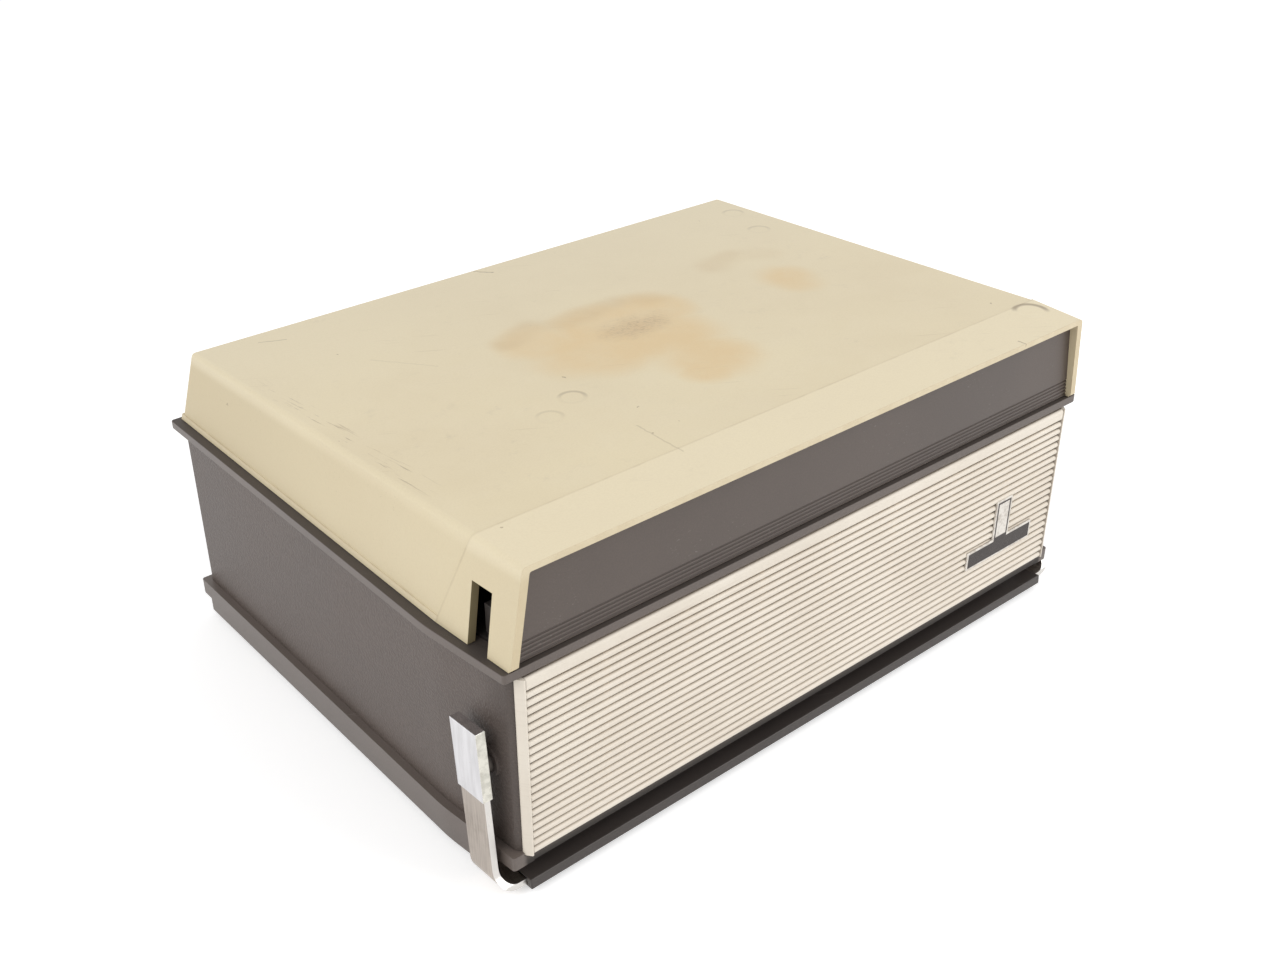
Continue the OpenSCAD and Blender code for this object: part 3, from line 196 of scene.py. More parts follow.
def plastic(name, colour, rough=0.42, grain=0.0, pebble=0.0011, rub=0.10, darkening=None):
    """Moulded plastic: cloudy colour, hairline scuffs, a smooth or pebbled skin with painted shade in its
    hollows, and painted shade where a given field says.
    """
    speck_black, hollow_shade_black = (0.02, 0.018, 0.016, 1), (0.03, 0.026, 0.024, 1)
    scuff_pale, darkening_brown = (0.75, 0.7, 0.64, 1), (0.02, 0.016, 0.013, 1)
    made, where = finish(name)
    cloud = where.noise(11, 4, 0.6)
    speck = where.noise(1400, 2)
    hair = where.turn(28).stretch(25, 900, 900).noise(1, 2).ramp(0.66, 0.74)
    hair = hair.most(where.turn(-37).stretch(900, 30, 700).noise(1, 2).ramp(0.68, 0.76))
    hair = hair * where.noise(30, 2).ramp(0.5, 0.65)
    colour = cloud.ramp(0.3, 0.7).mix(tint(colour, 0.93), tint(colour, 1.07))
    colour = (speck.ramp(0.3, 0.7) * 0.12).mix(colour, speck_black)
    colour = (hair * rub).mix(colour, scuff_pale)
    shine = rough + (cloud - 0.5) * 0.12 + hair * 0.1 + (speck - 0.5) * 0.05
    relief = speck * 0.15 + cloud * 0.1 - hair * 0.3
    # The darkening field paints shade in a darker brown.
    if darkening:
        darkened = darkening(where)
        colour = darkened.mix(colour, darkening_brown)
        shine = shine + darkened * 0.4
    if grain:
        # The pebbles' hollows are painted darker: painted shade.
        hollow = where.warp(400, pebble * 0.5).cells(1 / pebble).ramp(0.1, 0.7)
        colour = (hollow * 0.22).mix(colour, hollow_shade_black)
        relief = relief - hollow * 1.4
    return dress(made, {"Base Color": colour, "Roughness": shine, "Specular IOR Level": 0.4}, relief,
                 grain or 0.00003)


def rubber(name, colour):
    """Old rubber: dull, dusty and faintly crazed."""
    made, where = finish(name)
    dust = where.noise(160, 5, 0.7).ramp(0.45, 0.75)
    craze = where.warp(300, 0.001).cells(700, "DISTANCE_TO_EDGE").ramp(0.09, 0.0)
    colour = (dust * 0.35).mix(colour, paint(120, 112, 104))
    return dress(made, {"Base Color": colour, "Roughness": 0.72 + dust * 0.15, "Specular IOR Level": 0.3},
                 dust * 0.4 - craze * 0.6, 0.00008)


def metal(name, colour, rough, brush=(40, 1500, 1500), tarnish=paint(96, 84, 70), spots=0.25):
    """Metal with a fine brushed grain across the stretched axes and patches of tarnish."""
    made, where = finish(name)
    grain = where.stretch(*brush).noise(1, 3, 0.6)
    patch = where.noise(55, 5, 0.65).ramp(0.52, 0.75)
    pit = where.noise(600, 3, 0.6).ramp(0.64, 0.72)
    old = patch * spots + pit * spots * 0.7
    colour = grain.ramp(0.3, 0.7).mix(tint(colour, 0.9), tint(colour, 1.08))
    return dress(made, {"Base Color": old.least(1).mix(colour, tarnish),
                        "Metallic": 1.0 - old.least(1) * 0.4,
                        "Roughness": rough + (grain - 0.5) * 0.16 + old * 0.35}, grain - pit * 0.8, 0.00003)


def coat(made, *names, edge=0.0004, steps=2):
    """Gives CAD pieces their finish and rounds their edges by a radius in metres."""
    for name in names:
        piece = nodes[name]
        piece.data.materials.clear()
        piece.data.materials.append(made)
        joined = piece.modifiers.new("joined faces", "WELD")
        joined.merge_threshold = 2e-6
        plain = piece.modifiers.new("plain faces", "DECIMATE")
        plain.decimate_type = "DISSOLVE"
        plain.angle_limit = math.radians(0.4)
        rounded = piece.modifiers.new("rounded edges", "BEVEL")
        rounded.width = edge
        rounded.segments = steps
        rounded.limit_method = "ANGLE"
        rounded.angle_limit = math.radians(32)
        rounded.miter_outer = "MITER_ARC"
        even = piece.modifiers.new("even shading", "WEIGHTED_NORMAL")
        even.keep_sharp = True
        even.weight = 80


def front_soil(where):
    """Painted shade on the front lip's face under the grille's overhang, deeper towards its foot above the
    grip.
    """
    lip_y, lip_end, lip_top, lip_foot = -0.1408, 0.1815, 0.0218, 0.0175
    across, along, up = where.axes()
    on_face = along.ramp(lip_y + 0.0004, lip_y - 0.0004)
    on_face = on_face * across.size().ramp(lip_end + 0.0015, lip_end - 0.0015)
    return on_face * (0.62 + up.ramp(lip_top, lip_foot) * 0.33)


# The front lip's face carries painted shade, deeper towards its foot.
tray_brown = plastic("tray_brown", paint(107, 97, 91), rough=0.36, darkening=front_soil)
black_rubber = rubber("black_rubber", paint(46, 43, 41))
zinc_steel = metal("zinc_steel", paint(188, 184, 178), 0.36)
coat(tray_brown, "base_tray", edge=0.0007, steps=3)
coat(black_rubber, "feet", "rear_buffers", edge=0.0008, steps=3)
coat(zinc_steel, "base_screws", edge=0.0002)


# The case is one brown moulding of four walls with a fine pebbled skin outside.
# It is screwed down on the tray from below through its corner bosses.
def corner_soil(where):
    """Painted shade on the case's walls, darker towards the front corners."""
    unshaded_y, shaded_y = -0.120, -0.136
    return where.axis(1).ramp(unshaded_y, shaded_y) * 0.26


# The case's walls carry painted shade towards the front.
pebbled_brown = plastic("pebbled_brown", paint(98, 87, 81), rough=0.46, grain=0.0001, pebble=0.0010,
                        darkening=corner_soil)
coat(pebbled_brown, "case_shell", edge=0.0008, steps=3)

# The speaker grille is a cream moulding of close ribs between two slanted end bars, pegged to
# the front of the case; its gaps are painted brown, dust and painted shade, darker towards the
# ends, with a painted shadow line where the ribs meet the end bars. A dark plate in a bright
# frame is let in at the lower right, with a small upright badge above it, both left blank.
rib_face, rib_end, darker_from = -0.1440, 0.1785, 0.160
grille_cream, where = finish("grille_cream")
from_mid, along = where.axis(0).size(), where.axis(1)
cloud, speck = where.noise(18, 4, 0.6), where.noise(900, 2)
# The ribs' sides towards the gaps are painted brown for dust and painted shade; the line at the end bars is
# a painted shadow.
gap = along.ramp(rib_face + 0.0006, rib_face + 0.0022) * from_mid.ramp(rib_end + 0.0006, rib_end)
bar_shadow_line = from_mid.ramp(rib_end - 0.0006, rib_end - 0.0001) * from_mid.ramp(rib_end + 0.0004, rib_end)
gap_dust_and_shade = gap * (0.7 + where.noise(40, 3) * 0.45)
grey = where.stretch(3, 1, 60).noise(8, 4, 0.6).ramp(0.5, 0.8) * 0.25
colour = cloud.ramp(0.3, 0.7).mix(paint(228, 218, 203), paint(236, 227, 213))
colour = grey.mix(colour, paint(190, 177, 160))
gap_brown = from_mid.ramp(darker_from, rib_end).mix(paint(152, 135, 116), paint(96, 78, 64))
colour = gap_dust_and_shade.most(bar_shadow_line * 0.5).least(1.0).mix(colour, gap_brown)
dress(grille_cream, {"Base Color": colour, "Roughness": 0.42 + (cloud - 0.5) * 0.1 + gap * 0.3,
                     "Specular IOR Level": 0.4}, speck * 0.3 + cloud * 0.2, 0.00004)
coat(grille_cream, "speaker_grille", edge=0.0003)
plate_mid, plate_half = (0.135, 0.0485), (0.0275, 0.0055)
badge_mid, badge_half = (0.135, 0.0630), (0.0066, 0.0146)
frame_line, silver_in, silver_foot, lines_per_m = 0.0013, 0.0021, 0.0548, 1100
made, where = finish("name_enamel")
x, up = where.axis(0) - plate_mid[0], where.axis(2)
inside = (plate_half[0] - x.size()).least(plate_half[1] - (up - plate_mid[1]).size())
within = (badge_half[0] - x.size()).least(badge_half[1] - (up - badge_mid[1]).size())
bright = inside.most(within).ramp(frame_line, frame_line - 0.0002)
inset = within.ramp(silver_in, silver_in + 0.0002) * up.ramp(silver_foot, silver_foot + 0.0003)
bright = bright.most(inset)
wear = where.noise(300, 4, 0.6)
lines = (up * lines_per_m).part().ramp(0.2, 0.5)
silver = wear.ramp(0.4, 0.7).mix(paint(226, 221, 213), paint(190, 182, 172))
colour = bright.mix(lines.mix(paint(44, 39, 37), paint(64, 57, 54)), silver)
name_enamel = dress(made, {"Base Color": colour, "Metallic": bright * 0.5, "Roughness": 0.36 + wear * 0.15,
                           "Specular IOR Level": 0.3}, bright + lines * 0.15 + wear * 0.05, 0.0003)
coat(name_enamel, "name_plate", edge=0.0003)

# The loudspeaker hangs behind the grille on a black board: a pressed basket, a paper cone
# glued to its rim and a magnet pot behind.
made, where = finish("painted_board")
fibre = where.stretch(60, 500, 400).noise(1, 4, 0.6)
black_board = dress(made, {"Base Color": fibre.ramp(0.3, 0.7).mix(paint(40, 36, 33), paint(62, 55, 49)),
                           "Roughness": 0.8 + (fibre - 0.5) * 0.2}, fibre, 0.0002)
made, where = finish("cone_paper")
fibre = where.warp(200, 0.004).noise(700, 5, 0.7)
cone_paper = dress(made, {"Base Color": fibre.ramp(0.3, 0.7).mix(paint(58, 52, 47), paint(92, 84, 76)),
                          "Roughness": 0.86 + (fibre - 0.5) * 0.1}, fibre, 0.0002)
coat(black_board, "baffle_board")
coat(zinc_steel, "speaker_basket", "speaker_magnet", edge=0.0003)
coat(cone_paper, "speaker_cone", edge=0.0003)

# The rear holds a black plate of four round sockets and the two-pin inlet for the mains cord,
# both clipped into the wall from inside.
satin_black = plastic("satin_black", paint(50, 46, 44), rough=0.36)
coat(satin_black, "mains_inlet")
socket_step, socket_z, well_y = 0.024, 0.0681, 0.1342
contact_r, contact_turn, contact_span = 0.0047, math.radians(45), 1.7
ring_r, bore_r, fade = 0.0012, 0.0006, 0.0001
made, where = finish("socket_black")
x = ((where.axis(0) / socket_step).part() - 0.5) * socket_step
up, cloud = where.axis(2) - socket_z, where.noise(60, 4, 0.6)
reach, turn = (x * x + up * up).root(), x.angle(up)
aside = turn.spaced(contact_turn) * contact_r
hole = ((reach - contact_r) * (reach - contact_r) + aside * aside).root()
in_well = where.axis(1).ramp(well_y + 0.0003, well_y) * turn.size().ramp(contact_span + 0.05, contact_span)
brass = hole.ramp(ring_r, ring_r - fade) * hole.ramp(bore_r, bore_r + fade) * in_well
# The bores are painted near black: painted shade for the contact holes.
dark = hole.ramp(bore_r + fade, bore_r) * in_well
colour = cloud.ramp(0.3, 0.7).mix(paint(44, 41, 39), paint(56, 52, 49))
colour = dark.mix(brass.mix(colour, paint(198, 164, 98)), paint(12, 11, 10))
dress(made, {"Base Color": colour, "Metallic": brass, "Roughness": 0.4 + (cloud - 0.5) * 0.2 - brass * 0.1},
      where.noise(1400, 2) * 0.2 - dark, 0.0001)
coat(made, "socket_panel")


# The rim is a brown frame that caps the walls and carries the deck plate, the same moulding
# as the tray; a black control panel lies on the deck's front edge, with a ring of ticks
# printed round each knob.
def rim_soil(where):
    """Painted shade on the upward faces, the ledge that the lid's foot stands on, and a little darker on
    the front faces.
    """
    facing = where.node("TexCoord", out="Normal")
    return facing.axis(2).ramp(0.5, 0.85) * 0.6 + facing.axis(1).ramp(-0.6, -0.9) * 0.16


def any_of(fields):
    """The greatest of several fields at each place."""
    return functools.reduce(Field.most, fields)


# The rim carries painted shade on its upward faces and a little on its front faces.
rim_brown = plastic("smooth_brown", paint(107, 97, 91), rough=0.36, darkening=rim_soil)
deck_brown = plastic("deck_brown", paint(96, 88, 83), rough=0.5, grain=0.00003, pebble=0.0006)
coat(rim_brown, "deck_rim", edge=0.0011, steps=4)
coat(deck_brown, "deck_plate")
knob_xs, knob_y, panel_top = (-0.1502, -0.1102), -0.1135, 0.123
tick_step, tick_span, tick_half, tick_in, tick_out = math.radians(27), 2.4, 0.0003, 0.0164, 0.0187
made, where = finish("marked_black")
cloud, speck = where.noise(40, 4, 0.6), where.noise(1400, 2)
rings = []
for knob_x in knob_xs:
    x, y = where.axis(0) - knob_x, where.axis(1) - knob_y
    reach, turn = (x * x + y * y).root(), x.angle(y)
    aside = turn.spaced(tick_step).size() * reach
    tick = aside.ramp(tick_half + fade, tick_half) * turn.size().ramp(tick_span + 0.01, tick_span)
    rings.append(tick * reach.ramp(tick_in, tick_in + fade) * reach.ramp(tick_out, tick_out - fade))
marks = any_of(rings) * where.axis(2).ramp(panel_top - 2 * fade, panel_top - fade)
colour = cloud.ramp(0.3, 0.7).mix(paint(46, 43, 41), paint(56, 52, 50))
colour = marks.mix(colour, paint(214, 206, 190))
dress(made, {"Base Color": colour, "Roughness": 0.42 + (cloud - 0.5) * 0.16, "Specular IOR Level": 0.4},
      speck * 0.3 + marks * 0.5, 0.00004)
coat(made, "control_panel", edge=0.0005)

# Below the deck a steel chassis carries the motor, belt and flywheel.
# The mains transformer and the amplifier board stand on the tray's floor.
coat(zinc_steel, "chassis", edge=0.0003)
coat(metal("motor_can", paint(150, 148, 146), 0.4, (900, 900, 60)), "motor", edge=0.0006)
coat(black_rubber, "drive_belt", edge=0.0002)
bronze = metal("bearing_bronze", paint(186, 142, 82), 0.34, spots=0.35)
turned_steel = metal("turned_steel", paint(196, 193, 188), 0.22, (700, 700, 80), spots=0.1)
coat(bronze, "capstan_bearing", "turntable_bushes", edge=0.0003)
coat(turned_steel, "flywheel", "motor_pulley", edge=0.0004)
leaves_per_m = 1600
made, where = finish("stacked_iron")
leaf = (where.axis(1) * leaves_per_m).part().ramp(0.0, 0.3)
rust = where.noise(120, 5, 0.7).ramp(0.5, 0.7)
colour = (rust * 0.6).mix(leaf.mix(paint(58, 54, 52), paint(112, 108, 104)), paint(110, 74, 50))
stacked_iron = dress(made, {"Base Color": colour, "Roughness": 0.5 + rust * 0.3,
                            "Metallic": 0.7 - rust * 0.5}, leaf - rust * 0.4, 0.0001)
coat(stacked_iron, "transformer", edge=0.0004)
made, where = finish("pressed_laminate")
fleck = where.noise(260, 5, 0.65)
laminate = dress(made, {"Base Color": fleck.ramp(0.3, 0.7).mix(paint(118, 82, 44), paint(160, 116, 66)),
                        "Roughness": 0.42 + (fleck - 0.5) * 0.2}, fleck, 0.00004)
coat(laminate, "amplifier_board", edge=0.0002)
coat(plastic("blue_sleeve", paint(84, 108, 140), rough=0.3), "capacitors", edge=0.0006)

# Two pale plastic reels drop over the turntables; the left one is full of brown tape.
# A turntable is a turned steel dish with a spindle, and stands in a bush on the chassis.
pack_mid, turns_per_m, bands_per_m = (-0.088, 0.05, 0.0), 2400, 900
made, where = finish("reel_plastic")
haze = where.noise(60, 4, 0.6)
hair = where.turn(15).stretch(40, 900, 900).noise(1, 2).ramp(0.66, 0.74)
colour = haze.ramp(0.3, 0.7).mix(paint(196, 194, 186), paint(216, 213, 204))
reel_plastic = dress(made, {"Base Color": colour, "Roughness": 0.28 + haze * 0.12 + hair * 0.15},
                     haze * 0.3 - hair * 0.4, 0.00004)
made, where = finish("wound_tape")
centre = where.vector("SUBTRACT", where, pack_mid).stretch(1, 1, 0)
radius = centre.vector("LENGTH", centre, out=1)
turns = (radius * turns_per_m).part()
band = where.node("TexNoise", {"noise_dimensions": "1D"},
                  {"W": radius * bands_per_m, "Scale": 1.0, "Detail": 3.0})
wound_tape = dress(made, {"Base Color": band.ramp(0.3, 0.7).mix(paint(62, 42, 32), paint(96, 66, 50)),
                          "Roughness": 0.3 + band * 0.2}, turns * 0.5 + band, 0.00008)
coat(reel_plastic, "supply_reel", "takeup_reel", edge=0.0004)
coat(wound_tape, "tape_pack", edge=0.0003)
coat(turned_steel, "supply_turntable", "takeup_turntable", edge=0.0004)

# A cream cover stands on the deck over the tape heads, the steel guides and the pinch roller,
# a rubber wheel on a sprung arm.
pale_cream = plastic("pale_cream", paint(222, 212, 197), rough=0.4, rub=0.05)
coat(pale_cream, "head_cover", edge=0.001, steps=3)
coat(turned_steel, "record_head", "erase_head", "tape_guides", edge=0.0003)
coat(zinc_steel, "pinch_arm", edge=0.0003)
coat(black_rubber, "pinch_roller", edge=0.0004)

# Five keys rock on one steel rod, the first of them red. Each has its sign moulded on top:
# a dot, two arrows back, a square, one arrow on and two arrows on.
coat(turned_steel, "key_rod", edge=0.0002)
coat(pale_cream, "key_rewind", "key_stop", "key_start", "key_forward", edge=0.0008, steps=3)
coat(plastic("key_red", paint(168, 44, 34), rough=0.34), "key_record", edge=0.0008, steps=3)
sign_up, sign_in, sign_ahead, sign_edge = 0.0003, 0.0001, 0.014, 0.00012
dot_r, dot_sides, box_half = 0.0032, 32, 0.003
arrow_long, arrow_half, arrow_shift = 0.0054, 0.0034, 0.0028


def arrow(x, way):
    tail, tip = x - way * arrow_long / 2, x + way * arrow_long / 2
    return [(tail, -arrow_half), (tip, 0.0), (tail, arrow_half)]


dot = [(dot_r * math.cos(math.tau * i / dot_sides), dot_r * math.sin(math.tau * i / dot_sides))
       for i in range(dot_sides)]
box = [(-box_half, -box_half), (box_half, -box_half), (box_half, box_half), (-box_half, box_half)]
for name, outlines in (("record", [dot]),
                       ("rewind", [arrow(-arrow_shift, -1), arrow(arrow_shift, -1)]),
                       ("stop", [box]),
                       ("start", [arrow(0, 1)]),
                       ("forward", [arrow(-arrow_shift, 1), arrow(arrow_shift, 1)])):
    low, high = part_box("key_" + name)
    x, y, z = (low[0] + high[0]) / 2, low[1] + sign_ahead, high[2]
    shape = bmesh.new()
    for points in outlines:
        under = [shape.verts.new((x + a, y + b, z - sign_in)) for a, b in points]
        over = [shape.verts.new((x + a, y + b, z + sign_up)) for a, b in points]
        shape.faces.new(over)
        shape.faces.new(under[::-1])
        for i in range(len(points)):
            shape.faces.new((under[i - 1], under[i], over[i], over[i - 1]))
    bmesh.ops.recalc_face_normals(shape, faces=shape.faces)
    sign = bpy.data.objects.new(name + "_sign", bpy.data.meshes.new(name + "_sign"))
    shape.to_mesh(sign.data)
    shape.free()
    bpy.context.scene.collection.objects.link(sign)
    soft = sign.modifiers.new("rounded edges", "BEVEL")
    soft.width, soft.segments, soft.limit_method = sign_edge, 2, "ANGLE"
    sign.data.materials.append(pale_cream if name == "record" else satin_black)
    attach(sign, name + "_key")
    "key_plastic" if name == "record" else "black_plastic"

# Beside the keys are two ridged knobs, and the level meter: a cream box with a printed scale
# and a thin needle under a clear window.
coat(satin_black, "volume_knob", "tone_knob", edge=0.0004)
pivot_x, pivot_y, scale_z = 0.1062, -0.1215, 0.1223
scale_r, scale_step, scale_span, loud_from = 0.0165, math.radians(7), 0.63, 0.29
stroke_half, stroke_long, line_half, band_in, band_half = 0.00016, 0.002, 0.00014, 0.0009, 0.0006
made, where = finish("meter_scale")
x, y = where.axis(0) - pivot_x, where.axis(1) - pivot_y
reach, turn = (x * x + y * y).root(), x.angle(y)
past = reach - scale_r
aside = turn.spaced(scale_step).size() * reach
stroke = aside.ramp(stroke_half + fade, stroke_half)
stroke = stroke * past.ramp(-fade, 0) * past.ramp(stroke_long + fade, stroke_long)
line = past.size().ramp(line_half + fade, line_half)
loud = turn.ramp(loud_from, loud_from + 0.01)
band = (past + band_in).size().ramp(band_half + fade, band_half) * loud
ink = any_of([stroke, line, band]) * turn.size().ramp(scale_span + 0.01, scale_span)
ink = ink * where.axis(2).ramp(scale_z + fade, scale_z)
cloud = where.noise(60, 4, 0.6)
colour = cloud.ramp(0.3, 0.7).mix(paint(224, 215, 198), paint(234, 227, 212))
colour = ink.mix(colour, loud.mix(paint(44, 40, 38), paint(172, 42, 32)))
dress(made, {"Base Color": colour, "Roughness": 0.45 + (cloud - 0.5) * 0.14},
      cloud * 0.3 + ink * 0.2, 0.00005)
coat(made, "meter_case", edge=0.0004)
coat(satin_black, "meter_needle", edge=0.0001)
made, where = finish("clear_window")
smear = where.noise(90, 4, 0.6)
clear_window = dress(made, {"Base Color": paint(236, 240, 240), "Transmission Weight": 1.0, "IOR": 1.49,
                            "Roughness": 0.04 + smear.ramp(0.5, 0.8) * 0.12})
coat(clear_window, "meter_window", edge=0.0003)

# The tape counter is three cream wheels with black figures in a black case, and its reset
# button stands beside them.
coat(satin_black, "counter_case", edge=0.0004)
coat(pale_cream, "counter_wheels", "counter_button", edge=0.0004)
wheel_x, wheel_step, wheel_y, wheel_z, wheel_r = 0.1399, 0.005, -0.1135, 0.1279, 0.005
figure_high, figure_thick, figure_lift = 0.0036, 0.00008, 0.00004
shape = bmesh.new()
for number in range(10):
    line = bpy.data.curves.new("figure", "FONT")
    line.body = str(number)
    line.size, line.extrude, line.resolution_u = figure_high, figure_thick, 4
    line.align_x, line.align_y = "CENTER", "CENTER"
    figure = bpy.data.objects.new("figure", line)
    bpy.context.scene.collection.objects.link(figure)
    drawn = bpy.data.meshes.new_from_object(figure.evaluated_get(bpy.context.evaluated_depsgraph_get()))
    bpy.data.objects.remove(figure)
    bpy.data.curves.remove(line)
    for wheel in range(3):
        start = len(shape.verts)
        shape.from_mesh(drawn)
        shape.verts.ensure_lookup_table()
        for point in shape.verts[start:]:
            turn = point.co.y / wheel_r - math.radians(36 * number)
            reach = wheel_r + figure_lift + point.co.z
            point.co = (wheel_x + wheel * wheel_step + point.co.x, wheel_y + reach * math.sin(turn),
                        wheel_z + reach * math.cos(turn))
    bpy.data.meshes.remove(drawn)
figures = bpy.data.objects.new("counter_figures", bpy.data.meshes.new("counter_figures"))
shape.to_mesh(figures.data)
shape.free()
bpy.context.scene.collection.objects.link(figures)
figures.data.materials.append(satin_black)
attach(figures, "counter")

# The handle is a bent strap of brushed nickel-plated steel, swinging on two pins.
# Its ends wear bright chrome caps, and a dark grip moulding clips along its lower run.
made, where = finish("brushed_nickel")
grain = where.stretch(1500, 1500, 40).noise(1, 3, 0.6)
stain = where.noise(55, 5, 0.65).ramp(0.5, 0.75)
# The strap's narrow edges, facing front and back, are paler and a little glossier.
strap_edges = where.node("TexCoord", out="Normal").axis(1).size().ramp(0.45, 0.75)
colour = grain.ramp(0.3, 0.7).mix(paint(162, 152, 143), paint(188, 178, 168))
colour = (stain * 0.3).mix(colour, paint(126, 114, 102))
colour = strap_edges.mix(colour, paint(208, 205, 201))
shine = 0.36 + (grain - 0.5) * 0.16 + stain * 0.1 - strap_edges * 0.06
nickel = dress(made, {"Base Color": colour, "Metallic": 1.0 - stain * 0.1, "Roughness": shine},
               grain, 0.00003)
made, where = finish("chrome")
grain, pit = where.stretch(200, 200, 30).noise(1, 3, 0.6), where.noise(600, 3, 0.6).ramp(0.66, 0.74)
rubbed = where.node("TexCoord", out="Normal").axis(1).size().ramp(0.5, 0.8)
colour = grain.ramp(0.3, 0.7).mix(paint(206, 205, 207), paint(226, 225, 227))
dull = where.noise(260, 4, 0.7).ramp(0.35, 0.65).mix(paint(188, 186, 172), paint(224, 221, 208))
colour = (rubbed * 0.8).mix(colour, dull)
colour = (pit * 0.3).mix(colour, paint(160, 152, 142))
shine = 0.08 + (grain - 0.5) * 0.06 + pit * 0.2 + rubbed * 0.25
chrome = dress(made, {"Base Color": colour, "Metallic": 1.0 - rubbed * 0.3, "Roughness": shine},
               grain * 0.3 - pit, 0.00003)
coat(nickel, "handle_strap", edge=0.0006, steps=3)
coat(chrome, "handle_caps", edge=0.0004, steps=3)
coat(plastic("grip_black", paint(66, 60, 57), rough=0.38), "handle_grip", edge=0.0007, steps=3)
coat(metal("dark_steel", paint(92, 86, 82), 0.4, spots=0.3), "handle_pins", edge=0.0003)

# Each side of the lid is held by a black sprung catch that leans on a pin under the rim
# and shows through the slot in the cheek.
coat(satin_black, "catch_left", "catch_right", edge=0.0005, steps=3)
coat(turned_steel, "catch_pins", edge=0.0002)

# The lid is one thin cream moulding: a sloped top with leaning sides, a bead along the foot,
# and in front a hood that stands a little proud, with a slot for the catch in each cheek.
lid_foot, lid_half, lid_rear = 0.122, 0.188, 0.140
hood_y, crest_y, fold_y, cheek_foot = -0.146, -0.115, -0.096, -0.1445
rear_top, crest_top, front_top = 0.161, 0.1695, 0.1686
side_lean, rear_lean, cheek_in, wall = 0.008, 0.0094, 0.0027, 0.0026
hood_proud, bead_proud, bead_high, cheek_more = 0.0003, 0.0003, 0.0032, 0.0008
edge_round, inner_round, hood_inner_round, rim_round = 0.0021, 0.0022, 0.0008, 0.0003
slot_y, slot_half, slot_top, tip = -0.1236, 0.00625, lid_foot + 0.029, 0.0014


def solid(name, *faces):
    """A closed block bounded by planes whose normals point out."""
    parallel, slack = 1e-5, 1e-6
    corners = []
    for i in range(len(faces)):
        for j in range(i):
            for k in range(j):
                three = faces[i], faces[j], faces[k]
                rows = Matrix([normal for point, normal in three])
                if abs(rows.determinant()) > parallel:
                    spot = rows.inverted() @ Vector([normal.dot(point) for point, normal in three])
                    if all(normal.dot(spot - point) < slack for point, normal in faces):
                        corners.append(spot)
    shape = bmesh.new()
    for spot in corners:
        shape.verts.new(spot)
    bmesh.ops.remove_doubles(shape, verts=shape.verts, dist=slack)
    bmesh.ops.convex_hull(shape, input=shape.verts)
    bmesh.ops.dissolve_limit(shape, angle_limit=0.001, verts=shape.verts, edges=shape.edges)
    bmesh.ops.recalc_face_normals(shape, faces=shape.faces)
    piece = bpy.data.objects.new(name, bpy.data.meshes.new(name))
    shape.to_mesh(piece.data)
    shape.free()
    bpy.context.scene.collection.objects.link(piece)
    return piece


def block(name, low, high):
    """A square block between two corners."""
    (x0, y0, z0), (x1, y1, z1) = low, high
    return solid(name, (Vector((x0, 0, 0)), Vector((-1, 0, 0))), (Vector((x1, 0, 0)), Vector((1, 0, 0))),
                 (Vector((0, y0, 0)), Vector((0, -1, 0))), (Vector((0, y1, 0)), Vector((0, 1, 0))),
                 (Vector((0, 0, z0)), Vector((0, 0, -1))), (Vector((0, 0, z1)), Vector((0, 0, 1))))


def rounding(piece, radius, steps, angle):
    """Rounds the edges of a piece that are sharper than an angle."""
    rounded = piece.modifiers.new("rounded edges", "BEVEL")
    rounded.width = radius
    rounded.segments = steps
    rounded.limit_method = "ANGLE"
    rounded.angle_limit = math.radians(angle)


def plane(first, second, third):
    """The plane through three points, as a point and the normal that leads out of the lid."""
    first, second, third = Vector(first), Vector(second), Vector(third)
    normal = (second - first).cross(third - first).normalized()
    inside = Vector((0, 0, lid_foot + 0.01))
    return first, normal if normal.dot(first - inside) > 0 else -normal


def moved(face, by):
    """A plane moved along its normal."""
    point, normal = face
    return point + normal * by, normal


def settle(piece):
    """Makes a piece's modifiers part of its mesh."""
    old = piece.data
    piece.data = bpy.data.meshes.new_from_object(piece.evaluated_get(bpy.context.evaluated_depsgraph_get()))
    piece.modifiers.clear()
    piece.data.name = piece.name
    bpy.data.meshes.remove(old)


def combine(piece, operation, *others):
    """Cuts other blocks from a piece or joins them to it, and takes them away."""
    for other in others:
        step = piece.modifiers.new("join", "BOOLEAN")
        step.operation = operation
        step.object = other
        step.solver = "EXACT"
    settle(piece)
    for other in others:
        mesh = other.data
        bpy.data.objects.remove(other)
        bpy.data.meshes.remove(mesh)


def half(name, face):
    """A big block on the outer side of a plane."""
    thick, reach = 0.4, 0.6
    point, normal = face
    sides = [(point, -normal), (point + normal * thick, normal)]
    first = normal.cross(Vector((1, 0, 0)))
    first = (first if first.length > 0.1 else normal.cross(Vector((0, 1, 0)))).normalized()
    second = normal.cross(first)
    for way in (first, -first, second, -second):
        sides.append((point + way * reach, way))
    return solid(name, *sides)


